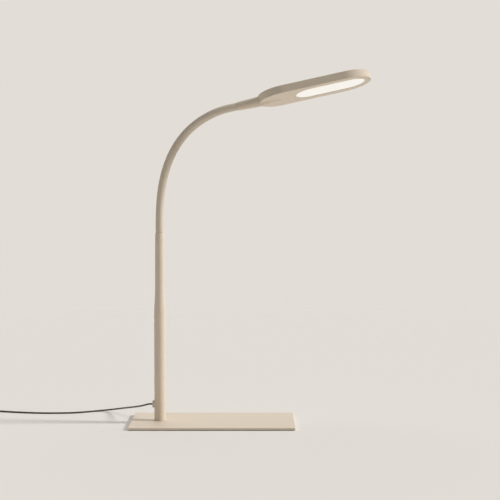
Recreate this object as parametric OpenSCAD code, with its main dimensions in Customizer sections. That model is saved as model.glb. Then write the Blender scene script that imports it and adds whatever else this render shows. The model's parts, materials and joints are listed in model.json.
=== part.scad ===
// Gooseneck desk lamp: a flat base plate, a two-stage post, a flexible neck and a flat oval light head.
// Millimetres. +Z is up, +X runs from the post towards the head and +Y runs to the back.
// The origin is the middle of the resting face, under the base plate.

/* [Base] */
// Length of the base plate, left to right
base_len = 240; // [200:1:320]
// Depth of the base plate, front to back
base_depth = 135; // [100:1:200]
// Thickness of the steel plate
base_t = 3; // [2.8:0.1:6]
// Corner radius of the plate, seen from above
base_corner_r = 2; // [0.5:0.5:10]
// Thickness of the foam pad under the plate
pad_t = 1; // [0.5:0.1:2]
// How far the pad's edge stays back from the plate's edge
pad_inset = 2; // [1:0.5:6]
// Distance from the plate's left edge to the post's axis
post_inset = 42; // [25:1:110]

/* [Post] */
// Outer diameter of the lower post
post_d = 16.8; // [16:0.1:22]
// Wall of the lower post
post_wall = 1.5; // [1:0.1:1.8]
// Height of the lower post above the plate
post_h = 162.5; // [120:0.5:260]
// Height of the reducer cone between the two tubes
cone_h = 26.5; // [16:0.5:50]
// Outer diameter of the middle tube at its foot
mid_d = 13.9; // [13.6:0.1:15]
// Outer diameter of the middle tube at its top
mid_top_d = 13.2; // [12.8:0.1:13.5]
// Bore of the middle tube
mid_bore_d = 11.5; // [11.2:0.1:11.9]
// Length of the middle tube that shows
mid_h = 80.5; // [50:0.5:160]
// Height of the chamfered shoulder on the neck collar
collar_h = 7.5; // [4:0.5:15]
// Length of the plugs that hold one tube in the next
spigot_len = 10; // [6:1:14]
// Bore through the reducer cone for the lead
cone_bore_d = 7; // [5:0.5:8]

/* [Foot fixing] */
// Height of the threaded insert in the foot of the post
insert_h = 14; // [12:1:20]
// Nominal diameter of the foot screw
foot_screw_d = 5; // [4:0.5:6]
// Length of the foot screw, from the underside of the plate
foot_screw_len = 13; // [10:0.5:15]
// Diameter of the foot screw's countersunk head
foot_head_d = 9.4; // [8.5:0.1:10.5]
// Height of the foot screw's countersunk head
foot_head_h = 2.2; // [1.6:0.1:2.6]
// Diameter of the locating pin that stops the post turning
pin_d = 2; // [1:0.1:2.4]
// Length of the locating pin
pin_len = 8; // [6:0.5:11]
// Distance from the post's axis to the locating pin
pin_offset = 4.6; // [4.5:0.1:4.8]

/* [Gooseneck] */
// Outer diameter of the flexible neck
neck_d = 11.6; // [11.2:0.1:12.4]
// Length of the neck between the collar and the ferrule
neck_len = 242; // [200:1:320]
// Diameter of the round end of each neck section
neck_ball_d = 10.8; // [10.6:0.1:11]
// Distance that each section stays back from its joint, so that it can bend
neck_relief = 3.1; // [3:0.1:3.6]
// Bore of the neck
neck_bore_d = 4; // [3.6:0.1:4.6]
// Diameter of the neck's end plugs, held in the collar and in the ferrule
neck_tail_d = 8; // [7:0.1:8.6]
// Length of the neck's end plugs
neck_tail_len = 12; // [8:1:16]

/* [Ferrule] */
// Length of the tapered ferrule between the neck and the head
ferrule_len = 31; // [24:1:45]
// Diameter of the ferrule at the neck
ferrule_d = 12.2; // [11.8:0.1:13.5]
// Diameter of the ferrule at the head
ferrule_head_d = 15; // [13.6:0.1:15.2]
// Diameter of the ferrule's spigot inside the head
spigot_d = 7.2; // [6:0.1:7.6]
// Length of the ferrule's spigot inside the head
spigot_reach = 16; // [12:1:18]

/* [Head] */
// Length of the head
head_len = 167; // [150:1:220]
// Width of the head
head_w = 75; // [66:1:110]
// Thickness of the head
head_t = 11.5; // [11.3:0.1:14]
// Wall of the head shell's side
shell_wall = 1.6; // [1.2:0.1:2.2]
// Wall of the head shell's top
shell_top = 1.8; // [1.4:0.1:2]
// Chamfer on the head shell's top edge
shell_chamfer = 1.2; // [0.4:0.1:1.4]
// Turn of the head about the neck's axis at rest
head_roll = 11; // [-45:1:45]
// Height of the neck's axis above the head's underside
axis_height = 3.8; // [3.6:0.1:4]
// Length of the fairing that runs from the ferrule into the head's underside
keel_len = 42; // [30:1:60]

/* [Light] */
// Length of the light window
window_len = 103; // [60:1:106]
// Width of the light window
window_w = 47; // [30:1:52]
// Distance from the window to the tip of the head
window_tip = 9; // [7:0.5:20]
// Thickness of the underside cover
cover_t = 1.8; // [1.2:0.1:2.2]
// Depth of the diffuser's face inside the window
diffuser_recess = 0.6; // [0.2:0.1:1]
// Thickness of the diffuser's rim, which sits on the cover
diffuser_rim_t = 1.2; // [0.8:0.1:1.6]
// Width of the diffuser's rim, which sits on the cover
diffuser_rim_w = 3; // [2:0.5:4]
// Height of the white light tray
tray_h = 4; // [3.6:0.1:4.4]
// Thickness of the board that carries the light-emitting diodes
led_board_t = 1.2; // [0.8:0.1:1.4]
// Number of diodes in a row
led_columns = 12; // [6:1:14]
// Number of rows of diodes
led_rows = 3; // [2:1:3]
// Distance between two diodes in a row
led_pitch = 7.6; // [5:0.1:8]
// Distance between two rows of diodes
led_row_pitch = 11; // [6:0.5:12]

/* [Push button] */
// Diameter of the push button on the head
button_d = 12; // [9:0.5:14]
// Distance from the middle of the driver board to the button, towards the tip
button_x = -0.5; // [-3.5:0.5:2.5]
// How far the button stands above the head
button_proud = 0.9; // [0.2:0.1:1.6]
// Travel of the button
button_travel = 0.8; // [0.4:0.1:0.8]
// Width of the button's rim under the shell
button_rim_w = 1; // [0.6:0.1:1.6]

/* [Cord] */
// Diameter of the low-voltage cord
cord_d = 2.5; // [2.3:0.1:2.6]
// Height of the cord's outlet above the plate
outlet_h = 24; // [22:0.5:26]
// How far the cord gland stands out of the post
gland_reach = 3; // [2:0.5:5]
// Diameter of the cord gland's outer flange
gland_d = 11; // [8:0.5:12]

/* [Plug-in adapter] */
// Length of the adapter's body
adapter_len = 54; // [45:1:80]
// Width of the adapter's body
adapter_w = 36; // [32:1:50]
// Height of the adapter's body
adapter_h = 24; // [22:0.5:30]
// Diameter of the two plug pins
plug_pin_d = 4; // [3.8:0.1:4.2]
// Length of the two plug pins
plug_pin_len = 19; // [17:0.5:20]
// Distance between the two plug pins
plug_pin_gap = 18.6; // [17.5:0.1:19.2]

/* [Hidden] */
$fn = 64;
paint = "#e6ddcd";
bare_metal = "#b9bcc0";
steel = "#8f9296";
black_rubber = "#2a2725";
white_plastic = "#f3f1ec";

fit = 0.05; // radial clearance of a piece held in another
loose = 0.1; // clearance round a cover or a board
running = 0.3; // clearance between curved faces that move past each other
eps = 0.02; // overlap of shapes inside one solid

// heights
plate_top = pad_t + base_t;
post_x = post_inset - base_len / 2;
cone_z = plate_top + post_h;
mid_z = cone_z + cone_h;
collar_z = mid_z + mid_h;
neck_z = collar_z + collar_h;
outlet_z = plate_top + outlet_h;

// lower post and its foot
post_r = post_d / 2;
post_bore_r = post_r - post_wall;
foot_hole_r = foot_screw_d / 2 + fit;
foot_play = 0.25;
countersink_play = 0.2;
insert_floor = 1;
insert_hole_h = insert_h - insert_floor;
pin_clearance = 0.3; // between the screw's countersunk head and the end of the locating pin
pin_lift = pin_clearance
    + foot_head_h * (foot_head_d - 2 * pin_offset + pin_d) / (foot_head_d - foot_screw_d);
pin_hole_h = pin_lift + pin_len - base_t + pin_clearance; // above the plate

// neck sections: how far each one turns at rest from the one before, from the collar to the ferrule
neck_turns = [0, 3, 4.5, 6.5, 8.5, 10, 11.5, 11.5, 11, 11];
neck_count = len(neck_turns);
section_len = neck_len / neck_count;
neck_r = neck_d / 2;
ball_r = neck_ball_d / 2;
lead_r = cord_d / 2;
lead_gap = 0.35; // distance that each length of the neck lead stays back from a joint
flare_start = 1.1;
flare_slope = 0.54;

// the lean of neck section i from upright, and the joint at its far end
function neck_angle(i) = i == 1 ? neck_turns[0] : neck_angle(i - 1) + neck_turns[i - 1];
function neck_point(i) =
    i == 0 ? [post_x, 0, neck_z]
        : neck_point(i - 1) + section_len * [sin(neck_angle(i)), 0, cos(neck_angle(i))];

// head: x from the ferrule to the tip, z from the underside up
shell_inner_z = head_t - shell_top;
keel_end_r = 2;
keel_sink = 0.4; // how far inside the cover the fairing ends
keel_wall = 1.2;
mouth_len = 4;
clamp_gap = 0.3;
clamp_x = mouth_len + clamp_gap;
clamp_len = 11;
clamp_wall = 1;
clamp_r = spigot_d / 2 + clamp_wall;
clamp_block_w = 13;
ear_offset = 10;
ear_r = 3.2;
ear_rise = 0.6;
ear_z = axis_height + ear_rise;
ear_t = 3;
clamp_screw_x = clamp_x + clamp_len / 2;
small_screw_r = 1.25;
small_head_r = 2.4;
small_head_h = 1.4;
small_thread_grip = 1.6; // how far a small screw reaches past the piece that it holds
boss_hole_top = shell_inner_z + shell_top / 3;
set_screw_r = 1.5;
window_start = head_len - window_tip - window_len;
window_x = window_start + window_len / 2;
diffuser_z = cover_t + diffuser_rim_t;
led_board_z = diffuser_z + tray_h;
tray_wall = 1.2;
led_size = [3.5, 2.8, 0.8];
led_margin = 2; // least distance from the middle of a diode to the window's edge
led_screw_end_inset = 13.5;
led_screw_side_inset = 8;
led_screw_dx = window_len / 2 - led_screw_end_inset;
led_screw_dy = window_w / 2 - led_screw_side_inset;
boss_r = 3;
skirt_t = 1;
skirt_h = 2.2;

// driver board
driver_w = 32;
driver_t = 1.2;
spigot_gap = 1.5; // between the ferrule's spigot and the driver board
tray_gap = 0.5; // between the driver board and the light tray
driver_x = mouth_len + spigot_reach + spigot_gap;
driver_len = window_start - diffuser_rim_w - tray_gap - driver_x;
standoff_h = 1.4;
standoff_r = 1.8;
standoff_inset = 2.5;
driver_z = cover_t + standoff_h;
driver_top = driver_z + driver_t;
driver_screw_r = 0.9;
driver_head_r = 1.6;
driver_head_h = 1.1;
capacitor_r = 2.5;
capacitor_pitch = 5.8;
capacitor_y = 6.3;
coil_block = [5, 5, 2.8];
chip_block = [5, 4, 1];
connector_block = [5, 6, 3];
part_inset = 1; // from the ends of the driver board to its parts
part_gap = 1;
part_headroom = 0.3; // between the tallest part and the pressed button

// push button: from the underside of its rim down to the switch
button_rim_t = 0.8;
button_gap = 0.2;
button_rim_z = shell_inner_z - button_gap - button_rim_t;
plunger_r = 1.7;
plunger_play = 0.05;
switch_w = 6;
switch_gap = 0.1;
switch_top = button_rim_z - button_travel - switch_gap;
button_at = driver_x + driver_len / 2 + button_x;
capacitor_h = button_rim_z - button_travel - part_headroom - driver_top;
plunger_depth = 1;
plunger_well_gap = 0.2;
plunger_well = plunger_depth + button_travel + plunger_well_gap;

// cord: its route from the gland to the coil, as points on its centre line
gland_bevel = 1.2;
gland_lip_r = 4;
gland_neck_r = 3;
gland_lip_t = 1.4;
lead_turn_r = 5;
coil_r = 15;
coil_columns = 3;
coil_layers = 4;
coil_centre = [-356, 84];
tie_t = 0.8;
tie_w = 6;
tie_play = 0.1;
tie_bow = 0.5; // extra room in a straight tie for the coil's curve
boot_len = 14;
boot_r = 3.4; // at the adapter
boot_tip_r = 2.1; // at the cord
adapter_corner = 4;
cord_route = [
    [post_x - post_r - gland_reach, 0, outlet_z], [-93, 0, outlet_z], [-97, 1, 27.2],
    [-101.5, 4, 25.6], [-107, 11, 23.3],
    [-113, 23, 20.6], [-120, 37, 17.6], [-128, 52, 14.4], [-136.5, 67, 11.2],
    [-145.5, 81, 8], [-155, 92, 5.2], [-165, 99, 3], [-175, 101, 1.7],
    [-185, 98.5, 1.3], [-195, 92.5, 1.3], [-205, 87, 1.3], [-216, 83, 1.3],
    [-230, 80.5, 1.3], [-246, 79.5, 1.3], [-262, 80, 1.3], [-278, 82, 1.3],
    [-294, 85.5, 1.3], [-310, 90, 1.3], [-326, 95, 1.4], [-341, 99.5, 1.8], [-356, 101.5, 2.1]
];
tail_route = [
    [-356, 101.5, 9.6], [-364, 101.7, 9], [-372, 102.5, 6.8], [-381, 104, 3.8], [-390, 106, 1.8],
    [-400, 108, 1.5], [-410, 109.5, 2.8], [-419, 110, 5.6], [-427, 110, 8.8], [-435, 110, 11.2],
    [-442, 110, 12]
];
boot_end = tail_route[len(tail_route) - 1];
cord_sides = 8;
rings_per_span = 2;

// ---- shared shapes ----

// A flat plate outline with round corners
module rounded_rect(length, width, corner) {
    square([length - 2 * corner, width], center = true);
    square([length, width - 2 * corner], center = true);
    for (sx = [-1, 1], sy = [-1, 1])
        translate([sx * (length / 2 - corner), sy * (width / 2 - corner)])
            circle(r = corner);
}

// An oval outline: a rectangle with two half-round ends
module stadium(length, width) {
    square([length - width, width], center = true);
    for (side = [-1, 1])
        translate([side * (length - width) / 2, 0])
            circle(d = width);
}

// Sweeps the 2D child round an oval: x of the child is measured outwards from the oval's spine
module stadium_sweep(spine) {
    for (side = [-1, 1])
        translate([side * spine / 2, 0, 0])
            rotate([0, 0, side * 90 + 180])
                rotate_extrude(angle = 180)
                    children();
    translate([-spine / 2, 0, 0])
        rotate([90, 0, 90])
            linear_extrude(spine)
                union() {
                    children();
                    mirror([1, 0]) children();
                }
}

// A tube or rod along the x axis
module rod_x(r, length) {
    rotate([0, 90, 0])
        cylinder(r = r, h = length);
}

// Places the children at the near end of neck section i, with +Z along the section
module at_section(i) {
    translate(neck_point(i - 1))
        rotate([0, neck_angle(i), 0])
            children();
}

// Places the children at the ferrule's near end, with +Z along the ferrule
module at_ferrule() {
    at_section(neck_count)
        translate([0, 0, section_len])
            children();
}

// Places the children in the head: x from the ferrule to the tip, z up from the underside
module at_head() {
    at_ferrule()
        translate([0, 0, ferrule_len])
            rotate([0, -90, 0])
                rotate([-head_roll, 0, 0])
                    translate([0, 0, -axis_height])
                        children();
}

// ---- base ----

module base_plate() {
    color(paint)
        difference() {
            translate([0, 0, pad_t])
                linear_extrude(base_t)
                    rounded_rect(base_len, base_depth, base_corner_r);
            translate([post_x, 0, 0]) {
                cylinder(d = foot_screw_d + 2 * foot_play, h = plate_top + 1);
                translate([0, 0, pad_t - eps])
                    cylinder(r1 = foot_head_d / 2 + countersink_play, r2 = foot_screw_d / 2 + foot_play,
                        h = foot_head_h + eps);
                translate([pin_offset, 0, 0])
                    cylinder(r = pin_d / 2 + fit, h = plate_top + 1);
            }
        }
}

module base_pad() {
    color(black_rubber)
        linear_extrude(pad_t)
            rounded_rect(base_len - 2 * pad_inset, base_depth - 2 * pad_inset, base_corner_r);
}

module foot_insert() {
    color(steel)
        translate([post_x, 0, plate_top])
            difference() {
                cylinder(r = post_bore_r - fit, h = insert_h);
                translate([0, 0, -1])
                    cylinder(r = foot_hole_r, h = insert_hole_h + 1);
                translate([pin_offset, 0, -1])
                    cylinder(r = pin_d / 2 + fit, h = pin_hole_h + 1);
            }
}

module foot_screw() {
    color(steel)
        translate([post_x, 0, pad_t]) {
            cylinder(r1 = foot_head_d / 2, r2 = foot_screw_d / 2, h = foot_head_h);
            translate([0, 0, foot_head_h - eps])
                cylinder(d = foot_screw_d, h = foot_screw_len - foot_head_h + eps);
        }
}

module locating_pin() {
    color(steel)
        translate([post_x + pin_offset, 0, pad_t + pin_lift])
            cylinder(d = pin_d, h = pin_len);
}

// ---- post ----

module lower_post() {
    color(paint)
        translate([post_x, 0, plate_top])
            difference() {
                cylinder(r = post_r, h = post_h);
                translate([0, 0, -1])
                    cylinder(r = post_bore_r, h = post_h + 2);
                translate([-post_r - 1, 0, outlet_h])
                    rod_x(gland_neck_r + fit, post_r);
            }
}

module cable_gland() {
    flange_reach = gland_reach + post_r / 2; // past the post's surface, which then cuts it
    color(paint)
        translate([post_x, 0, outlet_z])
            difference() {
                union() {
                    difference() {
                        translate([-post_r - gland_reach, 0, 0])
                            rotate([0, 90, 0])
                                rotate_extrude()
                                    polygon([[0, 0], [gland_d / 2 - gland_bevel, 0],
                                        [gland_d / 2, gland_bevel], [gland_d / 2, flange_reach],
                                        [0, flange_reach]]);
                        cylinder(r = post_r + fit, h = 2 * gland_d, center = true);
                    }
                    translate([-post_r - gland_reach / 2, 0, 0])
                        rod_x(gland_neck_r, gland_reach / 2 + post_wall + gland_lip_t);
                    intersection() {
                        translate([-post_r, 0, 0])
                            rod_x(gland_lip_r, post_wall + gland_lip_t);
                        cylinder(r = post_bore_r - fit, h = 2 * gland_d, center = true);
                    }
                }
                translate([-post_r - gland_reach - 1, 0, 0])
                    rod_x(lead_r + fit, 2 * post_r);
            }
}

module post_lead() {
    turn_x = post_x - lead_turn_r;
    start_x = post_x - post_r - gland_reach;
    color(black_rubber) {
        translate([start_x, 0, outlet_z])
            rod_x(lead_r, turn_x - start_x);
        translate([turn_x, 0, outlet_z + lead_turn_r])
            rotate([90, 0, 0])
                rotate([0, 0, -90])
                    rotate_extrude(angle = 90)
                        translate([lead_turn_r, 0])
                            circle(r = lead_r);
        translate([post_x, 0, outlet_z + lead_turn_r])
            cylinder(r = lead_r, h = neck_z + section_len - lead_gap - outlet_z - lead_turn_r);
    }
}

module reducer_cone() {
    color(paint)
        translate([post_x, 0, cone_z])
            difference() {
                union() {
                    translate([0, 0, -spigot_len])
                        cylinder(r = post_bore_r - fit, h = spigot_len + eps);
                    cylinder(r1 = post_r, r2 = mid_d / 2, h = cone_h);
                    translate([0, 0, cone_h - eps])
                        cylinder(r = mid_bore_d / 2 - fit, h = spigot_len + eps);
                }
                translate([0, 0, -spigot_len - 1])
                    cylinder(d = cone_bore_d, h = cone_h + 2 * spigot_len + 2);
            }
}

module middle_tube() {
    color(paint)
        translate([post_x, 0, mid_z])
            difference() {
                cylinder(r1 = mid_d / 2, r2 = mid_top_d / 2, h = mid_h);
                translate([0, 0, -1])
                    cylinder(d = mid_bore_d, h = mid_h + 2);
            }
}

module neck_collar() {
    plug_len = spigot_len + 2;
    color(paint)
        translate([post_x, 0, collar_z])
            difference() {
                union() {
                    translate([0, 0, -plug_len])
                        cylinder(r = mid_bore_d / 2 - fit, h = plug_len + eps);
                    cylinder(r1 = mid_top_d / 2, r2 = neck_r, h = collar_h);
                }
                translate([0, 0, collar_h - neck_tail_len - fit])
                    cylinder(r = neck_tail_d / 2 + fit, h = neck_tail_len + 1);
                translate([0, 0, -plug_len - 1])
                    cylinder(d = neck_bore_d, h = plug_len + collar_h + 2);
            }
}

// ---- neck ----

// One side of a neck section's outline, from its near joint at y = 0 to its far joint
module section_profile(first, last) {
    bore_r = neck_bore_d / 2;
    reach = section_len + (last ? neck_tail_len : ball_r);
    flare = last ? 0 : flare_slope * (ball_r - flare_start);
    difference() {
        intersection() {
            union() {
                translate([0, first ? 0 : neck_relief])
                    square([neck_r, section_len - (first ? 0 : neck_relief)]);
                if (first)
                    translate([0, -neck_tail_len])
                        square([neck_tail_d / 2, neck_tail_len + 1]);
                if (last)
                    translate([0, section_len - 1])
                        square([neck_tail_d / 2, neck_tail_len + 1]);
                else
                    translate([0, section_len])
                        circle(r = ball_r);
            }
            polygon([[bore_r, -2 * neck_tail_len], [2 * neck_r, -2 * neck_tail_len], [2 * neck_r, 2 * reach],
                [bore_r + flare, 2 * reach], [bore_r + flare, reach],
                [bore_r, section_len + flare_start]]);
        }
        if (!first)
            circle(r = ball_r + running);
    }
}

// One section of the neck: a round end on its far joint and a matching hollow on its near joint
module neck_section(i) {
    color(paint)
        at_section(i)
            rotate_extrude()
                section_profile(i == 1, i == neck_count);
}

// The length of lead inside one neck section
module neck_lead(i) {
    color(black_rubber)
        at_section(i)
            translate([0, 0, lead_gap])
                cylinder(r = lead_r, h = section_len - 2 * lead_gap);
}

module ferrule() {
    color(paint)
        at_ferrule()
            difference() {
                union() {
                    cylinder(d1 = ferrule_d, d2 = ferrule_head_d, h = ferrule_len);
                    translate([0, 0, ferrule_len - eps])
                        cylinder(d = spigot_d, h = spigot_reach + eps);
                }
                translate([0, 0, -1])
                    cylinder(r = neck_tail_d / 2 + fit, h = neck_tail_len + fit + 1);
                cylinder(r = lead_r + loose, h = ferrule_len + spigot_reach + 1);
            }
}

// ---- head ----

// The fairing cone on the head's underside; it starts at the ferrule and fades out
module keel(inset) {
    lead_in = 2;
    drop = axis_height - keel_end_r - keel_sink;
    slope = (keel_end_r - ferrule_head_d / 2) / keel_len;
    translate([0, 0, axis_height])
        rotate([0, 90 + atan(drop / keel_len), 0])
            translate([0, 0, -lead_in])
                cylinder(r1 = ferrule_head_d / 2 - slope * lead_in - inset, r2 = keel_end_r,
                    h = keel_len + lead_in);
}

// A slab across the head, from one x to another and from one z to another
module slab(x0, x1, z0, z1) {
    translate([x0, -head_w, z0])
        cube([x1 - x0, 2 * head_w, z1 - z0]);
}

module at_window() {
    translate([window_x, 0, 0])
        children();
}

module led_screw_spots() {
    for (sx = [-1, 1], sy = [-1, 1])
        translate([window_x + sx * led_screw_dx, sy * led_screw_dy, 0])
            children();
}

module clamp_screw_spots() {
    for (side = [-1, 1])
        translate([clamp_screw_x, side * ear_offset, 0])
            children();
}

module driver_screw_spots() {
    for (side = [-1, 1])
        translate([driver_x + driver_len / 2 + side * (driver_len / 2 - standoff_inset),
                side * (driver_w / 2 - standoff_inset), 0])
            children();
}

module head_shell() {
    spine = head_len - head_w;
    outer_r = head_w / 2;
    color(paint)
        at_head()
            difference() {
                union() {
                    difference() {
                        translate([head_len / 2, 0, 0])
                            stadium_sweep(spine)
                                polygon([[0, 0], [outer_r, 0], [outer_r, head_t - shell_chamfer],
                                    [outer_r - shell_chamfer, head_t], [0, head_t]]);
                        translate([head_len / 2, 0, -1])
                            linear_extrude(shell_inner_z + 1)
                                stadium(head_len - 2 * shell_wall, head_w - 2 * shell_wall);
                    }
                    intersection() {
                        keel(0);
                        slab(0, mouth_len, -2 * axis_height, shell_inner_z + eps);
                    }
                    led_screw_spots()
                        translate([0, 0, led_board_z + led_board_t])
                            cylinder(r = boss_r, h = shell_inner_z + eps - led_board_z - led_board_t);
                    clamp_screw_spots()
                        translate([0, 0, ear_z + ear_t])
                            cylinder(r = boss_r, h = shell_inner_z + eps - ear_z - ear_t);
                }
                translate([-1, 0, axis_height])
                    rod_x(spigot_d / 2 + fit, mouth_len + 2);
                translate([button_at, 0, shell_inner_z - 1])
                    cylinder(d = button_d + 2 * loose, h = shell_top + 2);
                led_screw_spots()
                    translate([0, 0, led_board_z])
                        cylinder(r = small_screw_r, h = boss_hole_top - led_board_z);
                clamp_screw_spots()
                    translate([0, 0, ear_z])
                        cylinder(r = small_screw_r, h = boss_hole_top - ear_z);
            }
}

module head_cover() {
    edge = 2 * (shell_wall + loose);
    color(paint)
        at_head()
            difference() {
                union() {
                    difference() {
                        translate([head_len / 2, 0, 0]) {
                            linear_extrude(cover_t)
                                stadium(head_len - edge, head_w - edge);
                            translate([0, 0, cover_t - eps])
                                linear_extrude(skirt_h + eps)
                                    difference() {
                                        stadium(head_len - edge, head_w - edge);
                                        stadium(head_len - edge - 2 * skirt_t, head_w - edge - 2 * skirt_t);
                                    }
                        }
                        translate([-1, 0, axis_height])
                            rod_x(ferrule_head_d / 2 + loose, mouth_len + loose + 1);
                    }
                    intersection() {
                        keel(0);
                        slab(mouth_len + loose, keel_len, -2 * axis_height, cover_t);
                    }
                    driver_screw_spots()
                        cylinder(r = standoff_r, h = driver_z);
                }
                intersection() {
                    keel(keel_wall);
                    slab(0, keel_len, -2 * axis_height, 2 * axis_height);
                }
                at_window()
                    translate([0, 0, -1])
                        linear_extrude(cover_t + 2)
                            stadium(window_len, window_w);
                driver_screw_spots()
                    translate([0, 0, cover_t / 2])
                        cylinder(r = driver_screw_r, h = driver_z);
            }
}

module diffuser() {
    color(white_plastic)
        at_head()
            at_window() {
                translate([0, 0, diffuser_recess])
                    linear_extrude(cover_t - diffuser_recess + eps)
                        stadium(window_len - 2 * loose, window_w - 2 * loose);
                translate([0, 0, cover_t])
                    linear_extrude(diffuser_rim_t)
                        stadium(window_len + 2 * diffuser_rim_w, window_w + 2 * diffuser_rim_w);
            }
}

module light_tray() {
    outer = 2 * diffuser_rim_w;
    color(white_plastic)
        at_head()
            at_window()
                translate([0, 0, diffuser_z])
                    linear_extrude(tray_h)
                        difference() {
                            stadium(window_len + outer, window_w + outer);
                            stadium(window_len + outer - 2 * tray_wall, window_w + outer - 2 * tray_wall);
                        }
}

module led_board() {
    color("#e9e9e4")
        at_head()
            difference() {
                at_window()
                    translate([0, 0, led_board_z])
                        linear_extrude(led_board_t)
                            stadium(window_len + 2 * diffuser_rim_w, window_w + 2 * diffuser_rim_w);
                led_screw_spots()
                    translate([0, 0, led_board_z - 1])
                        cylinder(r = small_screw_r + fit, h = led_board_t + 2);
            }
}

// Whether a diode at x, y from the window's middle lies inside the oval window
function led_fits(x, y) =
    norm([max(abs(x) - (window_len - window_w) / 2, 0), y]) <= window_w / 2 - led_margin;

module leds() {
    color("#f4e2a0")
        at_head()
            at_window()
                for (column = [0 : led_columns - 1], row = [0 : led_rows - 1])
                    let (x = (column - (led_columns - 1) / 2) * led_pitch,
                        y = (row - (led_rows - 1) / 2) * led_row_pitch)
                    if (led_fits(x, y))
                        translate([x - led_size[0] / 2, y - led_size[1] / 2, led_board_z - led_size[2]])
                            cube(led_size);
}

module board_screws() {
    color(steel)
        at_head()
            led_screw_spots() {
                translate([0, 0, led_board_z - small_head_h])
                    cylinder(r = small_head_r, h = small_head_h);
                translate([0, 0, led_board_z - eps])
                    cylinder(r = small_screw_r - fit, h = led_board_t + small_thread_grip);
            }
}

module neck_clamp() {
    color(bare_metal)
        at_head()
            difference() {
                union() {
                    translate([clamp_x, 0, axis_height])
                        rod_x(clamp_r, clamp_len);
                    translate([clamp_x, -clamp_block_w / 2, axis_height])
                        cube([clamp_len, clamp_block_w, shell_inner_z - loose - axis_height]);
                    clamp_screw_spots()
                        translate([0, 0, ear_z])
                            cylinder(r = ear_r, h = ear_t);
                    translate([clamp_screw_x - ear_r, -ear_offset, ear_z])
                        cube([2 * ear_r, 2 * ear_offset, ear_t]);
                }
                translate([clamp_x - 1, 0, axis_height])
                    rod_x(spigot_d / 2 + fit, clamp_len + 2);
                clamp_screw_spots()
                    translate([0, 0, ear_z - 1])
                        cylinder(r = small_screw_r + fit, h = ear_t + 2);
                translate([clamp_screw_x, 0, axis_height])
                    cylinder(r = set_screw_r + fit, h = head_t);
            }
}

module clamp_screws() {
    color(steel)
        at_head()
            clamp_screw_spots() {
                translate([0, 0, ear_z - small_head_h])
                    cylinder(r = small_head_r, h = small_head_h);
                translate([0, 0, ear_z - eps])
                    cylinder(r = small_screw_r - fit, h = ear_t + small_thread_grip);
            }
}

module set_screw() {
    top = shell_inner_z - 2 * loose;
    bottom = axis_height + spigot_d / 2 + fit;
    color(steel)
        at_head()
            translate([clamp_screw_x, 0, bottom])
                cylinder(r = set_screw_r, h = top - bottom);
}

module head_lead() {
    color(black_rubber)
        at_ferrule()
            translate([0, 0, -lead_gap])
                cylinder(r = lead_r, h = lead_gap + ferrule_len + driver_x - loose);
}

module driver_board() {
    color("#3f6b4a")
        at_head()
            difference() {
                translate([driver_x, -driver_w / 2, driver_z])
                    cube([driver_len, driver_w, driver_t]);
                driver_screw_spots()
                    translate([0, 0, driver_z - 1])
                        cylinder(r = driver_screw_r + fit, h = driver_t + 2);
            }
}

module driver_parts() {
    color("#3a3a3c")
        at_head()
            translate([driver_x, 0, driver_top]) {
                for (side = [-1, 1])
                    translate([button_at - driver_x + side * capacitor_pitch / 2, capacitor_y, 0])
                        cylinder(r = capacitor_r, h = capacitor_h);
                translate([part_inset, -switch_w / 2 - part_gap - coil_block[1], 0])
                    cube(coil_block);
                translate([driver_len - part_inset - connector_block[0],
                        -switch_w / 2 - part_gap - connector_block[1], 0])
                    cube(connector_block);
                translate([standoff_inset + driver_head_r + part_gap, part_inset / 2 - driver_w / 2, 0])
                    cube(chip_block);
            }
}

module driver_screws() {
    color(steel)
        at_head()
            driver_screw_spots() {
                translate([0, 0, driver_top])
                    cylinder(r = driver_head_r, h = driver_head_h);
                translate([0, 0, cover_t])
                    cylinder(r = driver_screw_r - fit, h = driver_top - cover_t + eps);
            }
}

// ---- push button ----

module switch_body() {
    color("#2f2f31")
        at_head()
            difference() {
                translate([button_at - switch_w / 2, -switch_w / 2, driver_top])
                    cube([switch_w, switch_w, switch_top - driver_top]);
                translate([button_at, 0, switch_top - plunger_well])
                    cylinder(r = plunger_r + fit, h = plunger_well + 1);
            }
}

module switch_plunger() {
    bottom = switch_top - plunger_depth;
    color(white_plastic)
        at_head()
            translate([button_at, 0, bottom])
                cylinder(r = plunger_r, h = button_rim_z - plunger_play - bottom);
}

module push_button() {
    color(paint)
        at_head()
            translate([button_at, 0, button_rim_z]) {
                cylinder(r = button_d / 2 + button_rim_w, h = button_rim_t);
                cylinder(d = button_d, h = head_t + button_proud - button_rim_z);
            }
}

// ---- cord ----

function unit(v) = v / norm(v);

// A smooth curve through the points of a route
function spline_point(route, i, t) =
    let (last = len(route) - 1,
        p0 = route[max(i - 1, 0)],
        p1 = route[i],
        p2 = route[min(i + 1, last)],
        p3 = route[min(i + 2, last)])
    0.5 * (2 * p1 + (p2 - p0) * t + (2 * p0 - 5 * p1 + 4 * p2 - p3) * t * t
        + (3 * p1 - p0 - 3 * p2 + p3) * t * t * t);

function spline(route, steps) = [
    for (i = [0 : len(route) - 2], s = [0 : steps - 1]) spline_point(route, i, s / steps),
    route[len(route) - 1]
];

function tangent(line, i) = unit(line[min(i + 1, len(line) - 1)] - line[max(i - 1, 0)]);

// One ring of points round the line at point i
function ring(line, i, r, sides) =
    let (along = tangent(line, i),
        across = unit(cross(along, [0, 0, 1])),
        up = cross(across, along))
    [for (k = [0 : sides - 1]) line[i] + r * (cos(360 * k / sides) * across + sin(360 * k / sides) * up)];

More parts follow.
